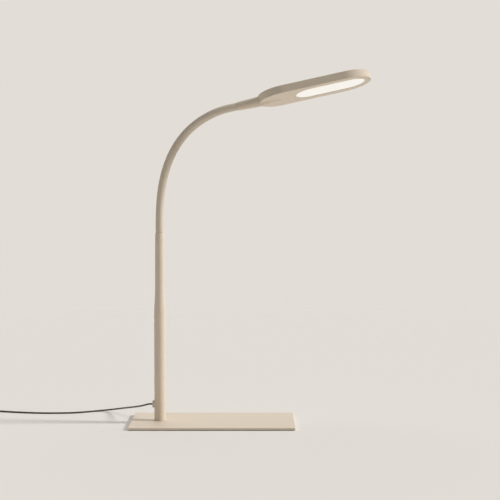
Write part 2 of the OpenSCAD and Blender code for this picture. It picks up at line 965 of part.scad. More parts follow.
// A closed tube with flat ends along a line of points
module tube_along(line, r, sides) {
    count = len(line);
    points = [for (i = [0 : count - 1]) each ring(line, i, r, sides)];
    walls = [
        for (i = [0 : count - 2], k = [0 : sides - 1])
            let (a = i * sides + k, b = i * sides + (k + 1) % sides)
            [a, b, b + sides, a + sides]
    ];
    start_cap = [for (k = [sides - 1 : -1 : 0]) k];
    end_cap = [for (k = [0 : sides - 1]) (count - 1) * sides + k];
    polyhedron(points, concat([start_cap], walls, [end_cap]));
}

module cord() {
    color(black_rubber)
        tube_along(spline(cord_route, rings_per_span), cord_d / 2, cord_sides);
}

module cord_tail() {
    color(black_rubber)
        tube_along(spline(tail_route, rings_per_span), cord_d / 2, cord_sides);
}

module cord_coil() {
    color(black_rubber)
        translate([coil_centre[0], coil_centre[1], tie_t])
            rotate_extrude()
                translate([coil_r - coil_columns * cord_d / 2, 0])
                    square([coil_columns * cord_d, coil_layers * cord_d]);
}

module coil_ties() {
    inner_w = coil_columns * cord_d + 2 * (tie_play + tie_bow);
    inner_h = coil_layers * cord_d;
    color(black_rubber)
        translate([coil_centre[0], coil_centre[1], 0])
            for (side = [-1, 1])
                translate([side * coil_r, 0, 0])
                    rotate([90, 0, 0])
                        linear_extrude(tie_w, center = true)
                            difference() {
                                translate([-inner_w / 2 - tie_t, 0])
                                    square([inner_w + 2 * tie_t, inner_h + 2 * tie_t]);
                                translate([-inner_w / 2, tie_t])
                                    square([inner_w, inner_h]);
                            }
}

// ---- adapter ----

module adapter_boot() {
    color(black_rubber)
        translate([boot_end[0] - boot_len, boot_end[1], boot_end[2]])
            rotate([0, 90, 0])
                cylinder(r1 = boot_r, r2 = boot_tip_r, h = boot_len);
}

module adapter_body() {
    color(white_plastic)
        translate([boot_end[0] - boot_len - adapter_len, boot_end[1], adapter_h / 2])
            rotate([90, 0, 90])
                linear_extrude(adapter_len)
                    rounded_rect(adapter_w, adapter_h, adapter_corner);
}

module plug_pins() {
    color(bare_metal)
        translate([boot_end[0] - boot_len - adapter_len - plug_pin_len, boot_end[1], adapter_h / 2])
            for (side = [-1, 1])
                translate([0, side * plug_pin_gap / 2, 0])
                    rod_x(plug_pin_d / 2, plug_pin_len);
}

base_plate();
base_pad();
foot_insert();
foot_screw();
locating_pin();
lower_post();
cable_gland();
post_lead();
reducer_cone();
middle_tube();
neck_collar();
neck_section(1);  // neck_section_01
neck_section(2);  // neck_section_02
neck_section(3);  // neck_section_03
neck_section(4);  // neck_section_04
neck_section(5);  // neck_section_05
neck_section(6);  // neck_section_06
neck_section(7);  // neck_section_07
neck_section(8);  // neck_section_08
neck_section(9);  // neck_section_09
neck_section(10);  // neck_section_10
neck_lead(2);  // neck_lead_02
neck_lead(3);  // neck_lead_03
neck_lead(4);  // neck_lead_04
neck_lead(5);  // neck_lead_05
neck_lead(6);  // neck_lead_06
neck_lead(7);  // neck_lead_07
neck_lead(8);  // neck_lead_08
neck_lead(9);  // neck_lead_09
neck_lead(10);  // neck_lead_10
ferrule();
neck_clamp();
clamp_screws();
set_screw();
head_lead();
head_shell();
head_cover();
diffuser();
light_tray();
led_board();
leds();
board_screws();
driver_board();
driver_parts();
driver_screws();
switch_body();
switch_plunger();
push_button();
cord();
cord_coil();
coil_ties();
cord_tail();
adapter_boot();
adapter_body();
plug_pins();
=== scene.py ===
"""Gooseneck desk lamp: the visible shells, the supply cord and the finishes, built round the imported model.

Each sub-assembly is a class that works in millimetres, in the lamp's frame or in the head's. Its pieces are
brought to metres in the lamp's frame as they are made. Z is up, and X runs from the post towards the head.
"""

import json
import logging
import math
from collections.abc import Callable, Iterable, Sequence
from dataclasses import dataclass, field
from enum import Enum
from typing import Any, NamedTuple

import bmesh
import bpy
from bmesh.types import BMEdge, BMesh, BMFace, BMVert
from bpy.types import ID, Material, NodeSocket, Object, World
from mathutils import Matrix, Vector


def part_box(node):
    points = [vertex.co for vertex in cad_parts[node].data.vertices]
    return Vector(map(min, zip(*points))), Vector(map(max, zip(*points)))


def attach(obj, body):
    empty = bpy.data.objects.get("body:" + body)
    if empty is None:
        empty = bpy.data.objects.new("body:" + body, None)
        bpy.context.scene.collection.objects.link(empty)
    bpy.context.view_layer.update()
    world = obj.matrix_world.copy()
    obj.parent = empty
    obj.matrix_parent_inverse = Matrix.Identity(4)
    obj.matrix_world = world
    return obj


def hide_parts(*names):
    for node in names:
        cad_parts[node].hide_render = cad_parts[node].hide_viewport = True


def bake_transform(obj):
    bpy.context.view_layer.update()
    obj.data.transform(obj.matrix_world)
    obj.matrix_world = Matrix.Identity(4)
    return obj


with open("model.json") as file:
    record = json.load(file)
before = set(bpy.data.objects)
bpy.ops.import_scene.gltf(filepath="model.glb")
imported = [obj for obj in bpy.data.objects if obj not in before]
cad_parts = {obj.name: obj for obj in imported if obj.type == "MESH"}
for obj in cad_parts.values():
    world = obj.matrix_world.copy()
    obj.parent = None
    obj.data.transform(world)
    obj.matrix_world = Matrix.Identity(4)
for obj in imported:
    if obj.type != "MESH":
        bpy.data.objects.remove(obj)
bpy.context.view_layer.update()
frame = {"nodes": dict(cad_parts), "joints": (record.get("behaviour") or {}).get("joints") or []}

LOG = logging.getLogger("desk_lamp")

MM = 0.001
TURN_STEPS = 96  # steps round a turned piece of the post and round the ferrule
SMALL_STEPS = 64  # steps round the gland, the push button and its hole
PLUG_STEPS = 40  # steps round the boot and the pins
OVAL_STEPS = 512  # steps round an oval, an even number
MERGE = 1e-4  # points nearer to each other than this are one
SHARP_ANGLE = math.radians(38)
ALONG_X = Matrix.Rotation(math.radians(90), 4, "Y")
AGAINST_X = Matrix.Rotation(math.radians(-90), 4, "Y")

Colour = tuple[float, float, float]
Inputs = dict[str | int, Any]
Profile = list[tuple[float, float]]


# ---- the frame, in millimetres ----


class Box(NamedTuple):
    """A box between its lowest and its highest corner, in millimetres."""

    low: Vector
    high: Vector

    @property
    def size(self) -> Vector:
        """Give the box's size along each axis."""
        return self.high - self.low

    @property
    def middle(self) -> Vector:
        """Give the box's middle."""
        return (self.low + self.high) / 2


def node_box(node: str) -> Box:
    """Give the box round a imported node."""
    low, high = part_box(node)
    return Box(low / MM, high / MM)


def node_radius(node: str) -> float:
    """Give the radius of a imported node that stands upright."""
    return node_box(node).size.x / 2


def post_foot() -> Vector:
    """Give the point where the post's axis meets the top of the base plate."""
    post = node_box("lower_post")
    return Vector((post.middle.x, post.middle.y, post.low.z))


def head_axes() -> tuple[Vector, Vector, Vector]:
    """Work out how the head lies from the push button's travel.

    Returns:
        The directions of the head's length, width and thickness.
    """
    press = next(joint for joint in frame["joints"] if joint["child"] == "button")
    up = -Vector(press["axis"])
    along = Vector((up.z, 0.0, -up.x)).normalized()
    return along, up.cross(along), up


def neck_joints() -> list[dict[str, Any]]:
    """Give the neck's packed joints, from the collar up."""
    return [joint for joint in frame["joints"] if joint["child"] != "button"]


def neck_points() -> list[Vector]:
    """Give the corners of the neck's axis.

    Returns:
        The collar's mouth, the joints, and the ferrule's mouth.
    """
    joints = [Vector(joint["pos_m"]) / MM for joint in neck_joints()]
    foot = post_foot()
    foot.z = node_box("neck_collar").high.z
    along, _, _ = head_axes()
    return [foot, *joints, joints[-1] + along * (joints[0] - foot).length]


# ---- finishes ----


class Graph:
    """The shader nodes of a material or of the world."""

    MIX_FACTOR = 0  # a Mix node's sockets for colours, by index, because their names are shared
    MIX_FIRST = 6
    MIX_SECOND = 7
    MIX_RESULT = 2

    def __init__(self, owner: Material | World) -> None:
        """Start with no nodes.

        Args:
            owner: The material or the world that the nodes belong to.
        """
        owner.use_nodes = True
        self.tree = owner.node_tree
        self.tree.nodes.clear()

    def add(
        self, kind: str, output: str | int, inputs: Inputs | None = None, **settings: Any
    ) -> NodeSocket:
        """Add a shader node, with its settings and its inputs.

        Args:
            kind: The node's type name, after "ShaderNode".
            output: The output that is wanted, by name or index.
            inputs: A value, or a socket to link from, for each input by name or index.
            **settings: Properties of the node itself.

        Returns:
            The wanted output.
        """
        node = self.tree.nodes.new(f"ShaderNode{kind}")
        for key, value in settings.items():
            setattr(node, key, value)
        for key, value in (inputs or {}).items():
            if isinstance(value, NodeSocket):
                self.tree.links.new(value, node.inputs[key])
            else:
                node.inputs[key].default_value = value
        return node.outputs[output]

    def mix(self, factor: NodeSocket, first: Any, second: Any) -> NodeSocket:
        """Blend two colours.

        Args:
            factor: The socket that blends them.
            first: The colour, or socket, at factor 0.
            second: The colour, or socket, at factor 1.

        Returns:
            The socket with the blended colour.
        """
        inputs = {self.MIX_FACTOR: factor, self.MIX_FIRST: first, self.MIX_SECOND: second}
        return self.add("Mix", self.MIX_RESULT, inputs, data_type="RGBA")

    def show(self, kind: str, surface: NodeSocket) -> None:
        """Link a shader to a new output node of some kind."""
        output = self.tree.nodes.new(f"ShaderNode{kind}")
        self.tree.links.new(surface, output.inputs["Surface"])


class Grain(Enum):
    """The fine relief of a surface."""

    COATED = "the shallow orange peel of a powder coat"
    MOULDED = "the even pits of a spark-eroded mould"
    DRAWN = "the fine lines of drawn or brushed metal"
    WOVEN = "the ribs of a woven strap"
    CLEAR = "the faint ripple of a polished sheet"


def shaded(colour: Colour, factor: float) -> tuple[float, float, float, float]:
    """Give a colour made lighter or darker by a factor, with full alpha."""
    red, green, blue = (min(part * factor, 1.0) for part in colour)
    return (red, green, blue, 1.0)


@dataclass(frozen=True)
class Finish:
    """One surface finish.

    Attributes:
        slot: The record's material slot.
        colour: The plain linear colour.
        roughness: The middle of the roughness range.
        grain: The kind of fine relief.
        grain_size: How wide one bump of the grain is, in millimetres.
        relief: How deep the grain is, in millimetres.
        mottle: The share by which the colour varies over the surface.
        mottle_size: How wide a patch of that variation is, in millimetres.
        pit_shade: How much darker the grain's pits are painted than the darkest patch, as a factor; this is
            painted shade in the pits.
        uneven: How far the roughness varies.
        metallic: 1 for bare metal.
        coat: Weight of a clear coat.
        sheen: Weight of the sheen of cloth or rubber.
        groove: Share by which the valleys of the "groove" attribute are painted darker, as painted shade in
            the grooves.
        glow: Strength of the light that the surface gives off, where its "glow" attribute is 1.
        glow_colour: The colour of that light.
    """

    slot: str
    colour: Colour
    roughness: float = 0.5
    grain: Grain = Grain.COATED
    grain_size: float = 0.7
    relief: float = 0.012
    mottle: float = 0.03
    mottle_size: float = 24.0
    pit_shade: float = 2.5
    uneven: float = 0.05
    metallic: float = 0.0
    coat: float = 0.0
    sheen: float = 0.0
    groove: float = 0.0
    glow: float = 0.0
    glow_colour: Colour = (1.0, 1.0, 1.0)

    def material(self) -> Material:
        """Give the finish's material, which is made when it is first asked for."""
        name = f"{self.slot}_finish"
        return bpy.data.materials.get(name) or self._make(name)

    def _make(self, name: str) -> Material:
        """Build the node material.

        Args:
            name: The material's name.

        Returns:
            The new material.
        """
        material = bpy.data.materials.new(name)
        graph = Graph(material)
        place = graph.add("TexCoord", "Object")
        patches = {"Vector": place, "Scale": 1 / (self.mottle_size * MM), "Detail": 4.0}
        cloud = graph.add("TexNoise", "Fac", patches)
        height = self._grain_height(graph, place)
        bump = {"Height": height, "Strength": 1.0, "Distance": self.relief * MM}
        inputs = {
            "Base Color": self._colour(graph, cloud, height),
            "Roughness": self._roughness(graph, cloud),
            "Normal": graph.add("Bump", "Normal", bump),
            "Metallic": self.metallic,
            "Coat Weight": self.coat,
            "Coat Roughness": 0.2,
            "Sheen Weight": self.sheen,
        }
        if self.glow:
            glow = graph.add("Attribute", "Fac", attribute_name="glow")
            black, bright = (shaded(self.glow_colour, factor) for factor in (0.0, 1.0))
            inputs |= {"Emission Color": graph.mix(glow, black, bright), "Emission Strength": self.glow}
        graph.show("OutputMaterial", graph.add("BsdfPrincipled", "BSDF", inputs))
        return material

    def _colour(self, graph: Graph, cloud: NodeSocket, height: NodeSocket) -> NodeSocket:
        """Vary the colour in soft patches, and paint shade into the grain's pits and into the grooves.

        Args:
            graph: The material's nodes.
            cloud: The socket with the soft patches.
            height: The socket with the grain's height.

        Returns:
            The socket with the colour.
        """
        dark, pale = (shaded(self.colour, 1 + change) for change in (-self.mottle, self.mottle))
        patches = graph.mix(cloud, dark, pale)
        # painted shade: the grain's low places, its pits, are painted darker
        spread = {"Value": height, "From Min": 0.45, "From Max": 0.1, "To Max": 0.5}
        pits = graph.add("MapRange", "Result", spread)
        pit_shaded = graph.mix(pits, patches, shaded(self.colour, 1 - self.pit_shade * self.mottle))
        if not self.groove:
            return pit_shaded
        # painted shade: the valleys of the neck's grooves are painted darker by their depth
        groove_shade_mask = graph.add("Attribute", "Fac", attribute_name="groove")
        return graph.mix(groove_shade_mask, pit_shaded, shaded(self.colour, 1 - self.groove))

    def _roughness(self, graph: Graph, cloud: NodeSocket) -> NodeSocket:
        """Vary the roughness with the soft patches.

        Args:
            graph: The material's nodes.
            cloud: The socket with the soft patches.

        Returns:
            The socket with the roughness.
        """
        low, high = self.roughness - self.uneven, self.roughness + self.uneven
        spread = {"Value": cloud, "From Min": 0.3, "From Max": 0.7, "To Min": low, "To Max": high}
        return graph.add("MapRange", "Result", spread)

    def _grain_height(self, graph: Graph, place: NodeSocket) -> NodeSocket:
        """Make the height of the fine relief.

        Args:
            graph: The material's nodes.
            place: The socket with the place on the piece, in metres.

        Returns:
            The socket with the height, from 0 to 1.
        """
        scale = 1 / (self.grain_size * MM)
        inputs = {"Vector": place, "Scale": scale}
        match self.grain:
            case Grain.COATED:
                return graph.add("TexNoise", "Fac", {**inputs, "Detail": 2.0, "Roughness": 0.45})
            case Grain.MOULDED:
                pits = {**inputs, "Smoothness": 0.6}
                return graph.add("TexVoronoi", "Distance", pits, feature="SMOOTH_F1")
            case Grain.DRAWN:
                lines = graph.add("Mapping", "Vector", {"Vector": place, "Scale": (0.06, 1.0, 1.0)})
                return graph.add("TexNoise", "Fac", {"Vector": lines, "Scale": scale, "Detail": 3.0})
            case Grain.WOVEN:
                flat = graph.add("Mapping", "Vector", {"Vector": place, "Scale": (1.0, 0.0, 1.0)})
                ribs = {"Scale": scale / math.tau, "Distortion": 0.6, "Detail": 1.0}
                across = graph.add("TexWave", "Fac", {"Vector": place, **ribs}, bands_direction="Y")
                along = graph.add("TexWave", "Fac", {"Vector": flat, **ribs}, bands_direction="DIAGONAL")
                return graph.add("Math", "Value", {0: across, 1: along}, operation="MULTIPLY")
            case Grain.CLEAR:
                return graph.add("TexNoise", "Fac", {**inputs, "Detail": 1.0})


CREAM = (0.79, 0.68, 0.545)
WARM_WHITE = (0.80, 0.77, 0.70)
DARK_BROWN = (0.060, 0.045, 0.034)

FINISHES = {
    finish.slot: finish
    for finish in (
        Finish("post_paint", CREAM, roughness=0.48, grain_size=0.8, relief=0.06, mottle=0.035),
        # the neck's groove share paints shade into its grooves and into the gap at the collar
        Finish("neck_paint", CREAM, grain_size=0.5, relief=0.02, groove=0.14),
        Finish("head_paint", CREAM, roughness=0.48, relief=0.045),
        Finish("gland_plastic", (0.70, 0.62, 0.52), grain=Grain.MOULDED, grain_size=0.3),
        Finish("foam", (0.030, 0.028, 0.026), roughness=0.9, grain=Grain.MOULDED, relief=0.12, sheen=0.2),
        Finish("fastener_steel", (0.46, 0.46, 0.47), roughness=0.34, grain=Grain.DRAWN, grain_size=0.15,
               relief=0.004, metallic=1.0),
        Finish("lead_sleeve", DARK_BROWN, grain=Grain.MOULDED, grain_size=0.2, relief=0.006),
        Finish("cast_alloy", (0.58, 0.58, 0.60), roughness=0.42, grain_size=0.4, relief=0.03, metallic=1.0),
        Finish("opal_diffuser", (0.42, 0.40, 0.36), roughness=0.35, grain=Grain.CLEAR, grain_size=1.2,
               relief=0.004, mottle=0.01, glow=0.57, glow_colour=(1.0, 0.985, 0.95)),
        Finish("white_plastic", WARM_WHITE, roughness=0.45, grain=Grain.MOULDED, grain_size=0.25,
               relief=0.006),
        Finish("led_board", (0.78, 0.78, 0.74), roughness=0.38, grain=Grain.CLEAR, relief=0.004, coat=0.2),
        Finish("led_chip", (0.82, 0.70, 0.30), roughness=0.3, grain=Grain.CLEAR, grain_size=0.5,
               relief=0.01),
        Finish("green_board", (0.045, 0.14, 0.065), roughness=0.36, grain=Grain.CLEAR, relief=0.006,
               mottle=0.12, coat=0.3),
        Finish("black_plastic", (0.030, 0.030, 0.032), roughness=0.45, grain=Grain.MOULDED,
               grain_size=0.25, relief=0.008, mottle=0.1),
        Finish("cord_sleeve", DARK_BROWN, roughness=0.48, grain=Grain.MOULDED, grain_size=0.25,
               relief=0.006, mottle=0.08, sheen=0.05),
        Finish("tie_strip", (0.022, 0.021, 0.020), roughness=0.85, grain=Grain.WOVEN, grain_size=0.6,
               relief=0.10, mottle=0.15, sheen=0.3),
        Finish("adapter_plastic", WARM_WHITE, roughness=0.46, grain=Grain.MOULDED, grain_size=0.35,
               relief=0.015, mottle=0.02),
        Finish("pin_nickel", (0.62, 0.58, 0.52), roughness=0.24, grain=Grain.DRAWN, grain_size=0.2,
               relief=0.003, metallic=1.0),
    )
}


# ---- profiles and meshes ----


class Corner(NamedTuple):
    """A corner of a profile: its place across and along, and the radius that rounds it, in millimetres."""

    across: float
    along: float
    radius: float = 0.0


def rounded(corners: Sequence[Corner], closed: bool = False, segments: int = 5) -> Profile:
    """Round the corners of a profile by arcs.

    Args:
        corners: The profile's corners, in order.
        closed: Whether the last corner joins the first.
        segments: How many steps an arc has.

    Returns:
        The (across, along) points of the rounded profile.
    """
    points: Profile = []
    places = [Vector((corner.across, corner.along)) for corner in corners]
    for index, (here, corner) in enumerate(zip(places, corners)):
        if not corner.radius or (not closed and index in (0, len(corners) - 1)):
            points.append(tuple(here))
            continue
        back = (places[index - 1] - here).normalized()
        ahead = (places[(index + 1) % len(corners)] - here).normalized()
        half_angle = back.angle(ahead) / 2
        reach = corner.radius / math.tan(half_angle)
        centre = here + (back + ahead).normalized() * corner.radius / math.sin(half_angle)
        start = (here + back * reach - centre).normalized()
        end = (here + ahead * reach - centre).normalized()
        arc = [start.slerp(end, step / segments).normalized() for step in range(segments + 1)]
        points += [tuple(centre + corner.radius * spoke) for spoke in arc]
    return points


def turned(
    corners: Sequence[Corner], closed: bool = True, steps: int = TURN_STEPS, segments: int = 5
) -> BMesh:
    """Turn a profile about Z, as on a lathe.

    Args:
        corners: The profile, with the radius across and the height along.
        closed: Whether the profile is a loop; an open one starts and ends on the axis.
        steps: How many steps the full turn has.
        segments: How many steps the profile's arcs have.

    Returns:
        The turned solid.
    """
    mesh = bmesh.new()
    verts = [mesh.verts.new((across, 0.0, along)) for across, along in rounded(corners, closed, segments)]
    ahead = verts[1:] + verts[: 1 if closed else 0]
    edges = [mesh.edges.new(pair) for pair in zip(verts, ahead)]
    bmesh.ops.spin(
        mesh,
        geom=verts + edges,
        cent=(0, 0, 0),
        axis=(0, 0, 1),
        angle=math.tau,
        steps=steps,
        use_merge=True,
    )
    bmesh.ops.remove_doubles(mesh, verts=mesh.verts, dist=MERGE)
    return mesh


def block(box: Box) -> BMesh:
    """Make a solid that fills a box.

    Args:
        box: The box.

    Returns:
        The solid.
    """
    mesh = bmesh.new()
    bmesh.ops.create_cube(mesh, size=1.0, matrix=Matrix.LocRotScale(box.middle, None, box.size))
    return mesh


def soften(
    mesh: BMesh, radius: float, segments: int, pick: Callable[[BMEdge], bool] = lambda edge: True
) -> None:
    """Round the sharp edges of a mesh.

    Args:
        mesh: The mesh.
        radius: The rounding's size.
        segments: How many steps the rounding has.
        pick: A test that an edge has to pass.
    """
    sharp = [
        edge
        for edge in mesh.edges
        if edge.is_manifold and edge.calc_face_angle() > SHARP_ANGLE and pick(edge)
    ]
    bmesh.ops.bevel(
        mesh,
        geom=sharp,
        offset=radius,
        offset_type="OFFSET",
        segments=segments,
        profile=0.5,
        affect="EDGES",
        clamp_overlap=True,
        material=-1,
    )


def runs_along(edge: BMEdge, axis: int) -> bool:
    """Tell whether an edge of a block runs along an axis, given as 0, 1 or 2."""
    first, second = edge.verts
    return abs(second.co[axis] - first.co[axis]) > edge.calc_length() - MERGE


def whole(mesh: BMesh) -> list[BMVert | BMEdge | BMFace]:
    """Give all of a mesh's geometry, as an operator takes it."""
    return [*mesh.verts, *mesh.edges, *mesh.faces]


def capped(mesh: BMesh, *loops: Iterable[BMEdge]) -> None:
    """Close a flat outline.

    Args:
        mesh: The mesh.
        *loops: The outline's edges, and the edges of each hole in it.
    """
    edges = [edge for loop in loops for edge in loop]
    if len(loops) == 1:
        bmesh.ops.edgeloop_fill(mesh, edges=edges)
    else:
        bmesh.ops.triangle_fill(mesh, use_beauty=True, use_dissolve=False, edges=edges)


def loop_edges(verts: Sequence[BMVert]) -> list[BMEdge]:
    """Find the edges whose two ends are both among some vertices.

    Args:
        verts: The vertices.

    Returns:
        The edges, each once, in the order of the vertices.
    """
    found = set(verts)
    edges = (edge for vert in verts for edge in vert.link_edges if edge.other_vert(vert) in found)
    return list(dict.fromkeys(edges))


def next_ring(mesh: BMesh, edges: Sequence[BMEdge]) -> tuple[list[BMVert], list[BMEdge]]:
    """Extrude a ring of edges in place.

    Args:
        mesh: The mesh.
        edges: The ring.

    Returns:
        The new ring's vertices and its edges.
    """
    made = bmesh.ops.extrude_edge_only(mesh, edges=edges)["geom"]
    verts = [part for part in made if isinstance(part, BMVert)]
    return verts, loop_edges(verts)


@dataclass(frozen=True)
class Oval:
    """An oval outline along X: two half circles joined by straight sides.

    Attributes:
        length: Its whole length.
        width: Its whole width.
        centre_x: Where its middle lies on the X axis.
    """

    length: float
    width: float
    centre_x: float

    def end_place(self, side: int, inset: float, height: float) -> Matrix:
        """Place a unit half circle at one end of the outline.

        Args:
            side: 1 for the end towards +X, -1 for the other.
            inset: How far inside the outline it lies.
            height: Its height.

        Returns:
            The matrix that brings the half circle there.
        """
        radius = self.width / 2 - inset
        end_x = self.centre_x + side * (self.length - self.width) / 2
        return Matrix.Translation((end_x, 0, height)) @ Matrix.Diagonal((radius, radius, 1, 1))

    def towards(self, other: "Oval", share: float) -> "Oval":
        """Give the outline that lies a share of the way to another one."""
        pairs = ((self.length, other.length), (self.width, other.width), (self.centre_x, other.centre_x))
        return Oval(*(here + (there - here) * share for here, there in pairs))


class Station(NamedTuple):
    """One ring of an oval sweep: its outline, how far inside it the ring lies, and its height."""

    oval: Oval
    inset: float
    height: float


def stations(oval: Oval, corners: Sequence[Corner]) -> list[Station]:
    """Give the rings of a profile round an oval, with the inset across and the height along."""
    return [Station(oval, across, along) for across, along in rounded(corners, segments=4)]


def sweep_ovals(mesh: BMesh, rings: Sequence[Station]) -> tuple[list[BMEdge], list[BMEdge]]:
    """Extrude an oval ring from station to station.

    Args:
        mesh: The mesh that takes the surface.
        rings: The stations, in order.

    Returns:
        The edges of the first ring and of the last one.
    """
    half_step = Matrix.Rotation(math.pi / OVAL_STEPS, 4, "Z")
    verts = bmesh.ops.create_circle(mesh, segments=OVAL_STEPS, radius=1.0, matrix=half_step)["verts"]
    first_edges = edges = loop_edges(verts)
    held = {side: Matrix.Identity(4) for side in (-1, 1)}
    middle = 0.0
    for index, ring in enumerate(rings):
        if index:
            verts, edges = next_ring(mesh, edges)
        halves = {side: [vert for vert in verts if (vert.co.x - middle) * side > 0] for side in held}
        for side, half in halves.items():
            place = ring.oval.end_place(side, ring.inset, ring.height)
            bmesh.ops.transform(mesh, matrix=place @ held[side].inverted(), verts=half)
            held[side] = place
        middle = ring.oval.centre_x
    return first_edges, edges


def add_object(name: str, data: ID) -> Object:
    """Add an object to the scene.

    Args:
        name: The object's name.
        data: Its mesh, curve, light or camera.

    Returns:
        The new object.
    """
    added = bpy.data.objects.new(name, data)
    bpy.context.scene.collection.objects.link(added)
    return added


def add_mesh(name: str, mesh: BMesh) -> Object:
    """Add a mesh to the scene as an object, and free it.

    Args:
        name: The object's name.
        mesh: The mesh, in metres.

    Returns:
        The new object.
    """
    data = bpy.data.meshes.new(name)
    mesh.to_mesh(data)
    mesh.free()
    return add_object(name, data)


def make_piece(
    name: str,
    mesh: BMesh,
    slot: str,
    body: str | None,
    replaces: Sequence[str] = (),
    place: Matrix | None = None,
) -> Object:
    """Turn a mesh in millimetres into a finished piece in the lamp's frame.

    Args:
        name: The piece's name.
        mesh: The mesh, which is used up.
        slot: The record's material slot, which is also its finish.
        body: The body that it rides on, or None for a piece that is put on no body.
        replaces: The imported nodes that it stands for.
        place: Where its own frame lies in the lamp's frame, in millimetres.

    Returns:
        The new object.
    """
    bmesh.ops.transform(mesh, matrix=Matrix.Scale(MM, 4) @ (place or Matrix.Identity(4)), verts=mesh.verts)
    bmesh.ops.recalc_face_normals(mesh, faces=mesh.faces)
    piece = add_mesh(name, mesh)
    piece.data.shade_smooth()
    piece.data.set_sharp_from_angle(angle=SHARP_ANGLE)
    even = piece.modifiers.new("even_normals", "WEIGHTED_NORMAL")
    even.keep_sharp = True
    dress(piece, slot, replaces)
    if body:
        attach(piece, body)
    LOG.info("%s: %d faces in %s", name, len(piece.data.polygons), slot)
    return piece


def dress(piece: Object, slot: str, replaces: Sequence[str] = ()) -> None:
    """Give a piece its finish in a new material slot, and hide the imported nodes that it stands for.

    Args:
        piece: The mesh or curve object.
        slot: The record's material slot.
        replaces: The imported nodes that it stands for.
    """
    piece.data.materials.append(FINISHES[slot].material())
    if replaces:
        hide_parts(*replaces)


# ---- studio ----


@dataclass(frozen=True)
class StudioLight:
    """One soft light of the studio, so far away that it is even over the whole floor.

    Surfaces mirror the backdrop and not the light itself, which would glare off the plate at a low angle.

    Attributes:
        name: Its name.
        bearing: The side that it comes from, in degrees from +X towards the camera.
        elevation: Its height above the floor, in degrees.
        spread: How wide it looks, in degrees; a wide light casts soft shadows.
        strength: Its strength, in watts per square metre.
    """

    name: str
    bearing: float
    elevation: float
    spread: float
    strength: float

    def build(self) -> None:
        """Add the light to the scene."""
        light = bpy.data.lights.new(self.name, "SUN")
        light.angle = math.radians(self.spread)
        light.energy = self.strength
        lamp = add_object(self.name, light)
        lamp.rotation_euler = (0.0, math.radians(90 - self.elevation), math.radians(-self.bearing))
        lamp.visible_glossy = False


@dataclass
class Studio:
    """The camera, the soft light and the pale floor round the lamp, in metres.

    Attributes:
        lens: The camera's focal length, in millimetres on a sensor 36 mm wide.
        camera_place: Where the camera stands.
        camera_pitch: How many degrees it looks down.
        ambient: Strength of the light from all round.
        ambient_colour: The colour of that light.
        backdrop: The colour behind the lamp.
        floor_colour: The colour of the floor.
        floor_radius: Radius of the floor.
        fade_start: Distance from the lamp at which the floor starts to fade into the backdrop.
        fade_end: Distance at which it is gone.
        lights: The key light and the light from above.
    """

    lens: float = 102.96
    camera_place: tuple[float, float, float] = (0.0547, -2.097, 0.3603)
    camera_pitch: float = 2.862
    ambient: float = 0.22
    ambient_colour: Colour = (1.0, 0.985, 0.96)
    backdrop: Colour = (0.76, 0.725, 0.675)
    floor_colour: Colour = (0.895, 0.857, 0.805)
    floor_radius: float = 4.0
    fade_start: float = 0.7
    fade_end: float = 2.4
    lights: tuple[StudioLight, ...] = (
        StudioLight("key_light", bearing=3.0, elevation=27.0, spread=12.0, strength=2.4),
        StudioLight("top_light", bearing=-80.0, elevation=65.0, spread=50.0, strength=0.95),
    )

    def build(self) -> None:
        """Set up the camera, the light and the floor."""
        self._camera()
        self._world()
        for light in self.lights:
            light.build()
        self._floor()
        bpy.context.scene.view_settings.view_transform = "Standard"

    def _camera(self) -> None:
        """Add the camera, which looks along +Y."""
        data = bpy.data.cameras.new("camera")
        data.lens = self.lens
        camera = add_object("camera", data)
        camera.location = self.camera_place
        camera.rotation_euler = (math.radians(90 - self.camera_pitch), 0.0, 0.0)
        bpy.context.scene.camera = camera

    def _world(self) -> None:
        """Light the scene evenly from all round, and show the backdrop's colour to the camera."""
        world = bpy.data.worlds.new("studio")
        graph = Graph(world)
        around = {"Color": shaded(self.ambient_colour, 1.0), "Strength": self.ambient}
        light = graph.add("Background", "Background", around)
        behind = {"Color": shaded(self.backdrop, 1.0), "Strength": 1.0}
        shown = graph.add("Background", "Background", behind)
        seen = graph.add("LightPath", "Is Camera Ray")
        for name in ("Is Glossy Ray", "Is Transmission Ray"):
            ray = graph.add("LightPath", name)
            seen = graph.add("Math", "Value", {0: seen, 1: ray}, operation="MAXIMUM")
        graph.show("OutputWorld", graph.add("MixShader", "Shader", {0: seen, 1: light, 2: shown}))
        bpy.context.scene.world = world

    def _floor(self) -> None:
        """Lay a round floor that fades into the backdrop far from the lamp."""
        mesh = bmesh.new()
        bmesh.ops.create_circle(mesh, cap_ends=True, segments=128, radius=self.floor_radius)
        floor = add_mesh("floor", mesh)
        floor.data.materials.append(self._floor_material())

    def _floor_material(self) -> Material:
        """Make the floor's material.

        Returns:
            The material, opaque near the lamp and clear at its edge.
        """
        material = bpy.data.materials.new("floor_paper")
        graph = Graph(material)
        place = graph.add("TexCoord", "Object")
        distance = graph.add("VectorMath", "Value", {0: place}, operation="LENGTH")
        spread = {"Value": distance, "From Min": self.fade_start, "From Max": self.fade_end}
        fade = graph.add("MapRange", "Result", spread, interpolation_type="SMOOTHSTEP")
        paper = {"Base Color": shaded(self.floor_colour, 1.0), "Roughness": 0.85, "Specular IOR Level": 0.2}
        opaque = graph.add("BsdfPrincipled", "BSDF", paper)
        clear = graph.add("BsdfTransparent", "BSDF")
        graph.show("OutputMaterial", graph.add("MixShader", "Shader", {0: fade, 1: opaque, 2: clear}))
        return material


# ---- supply cord ----


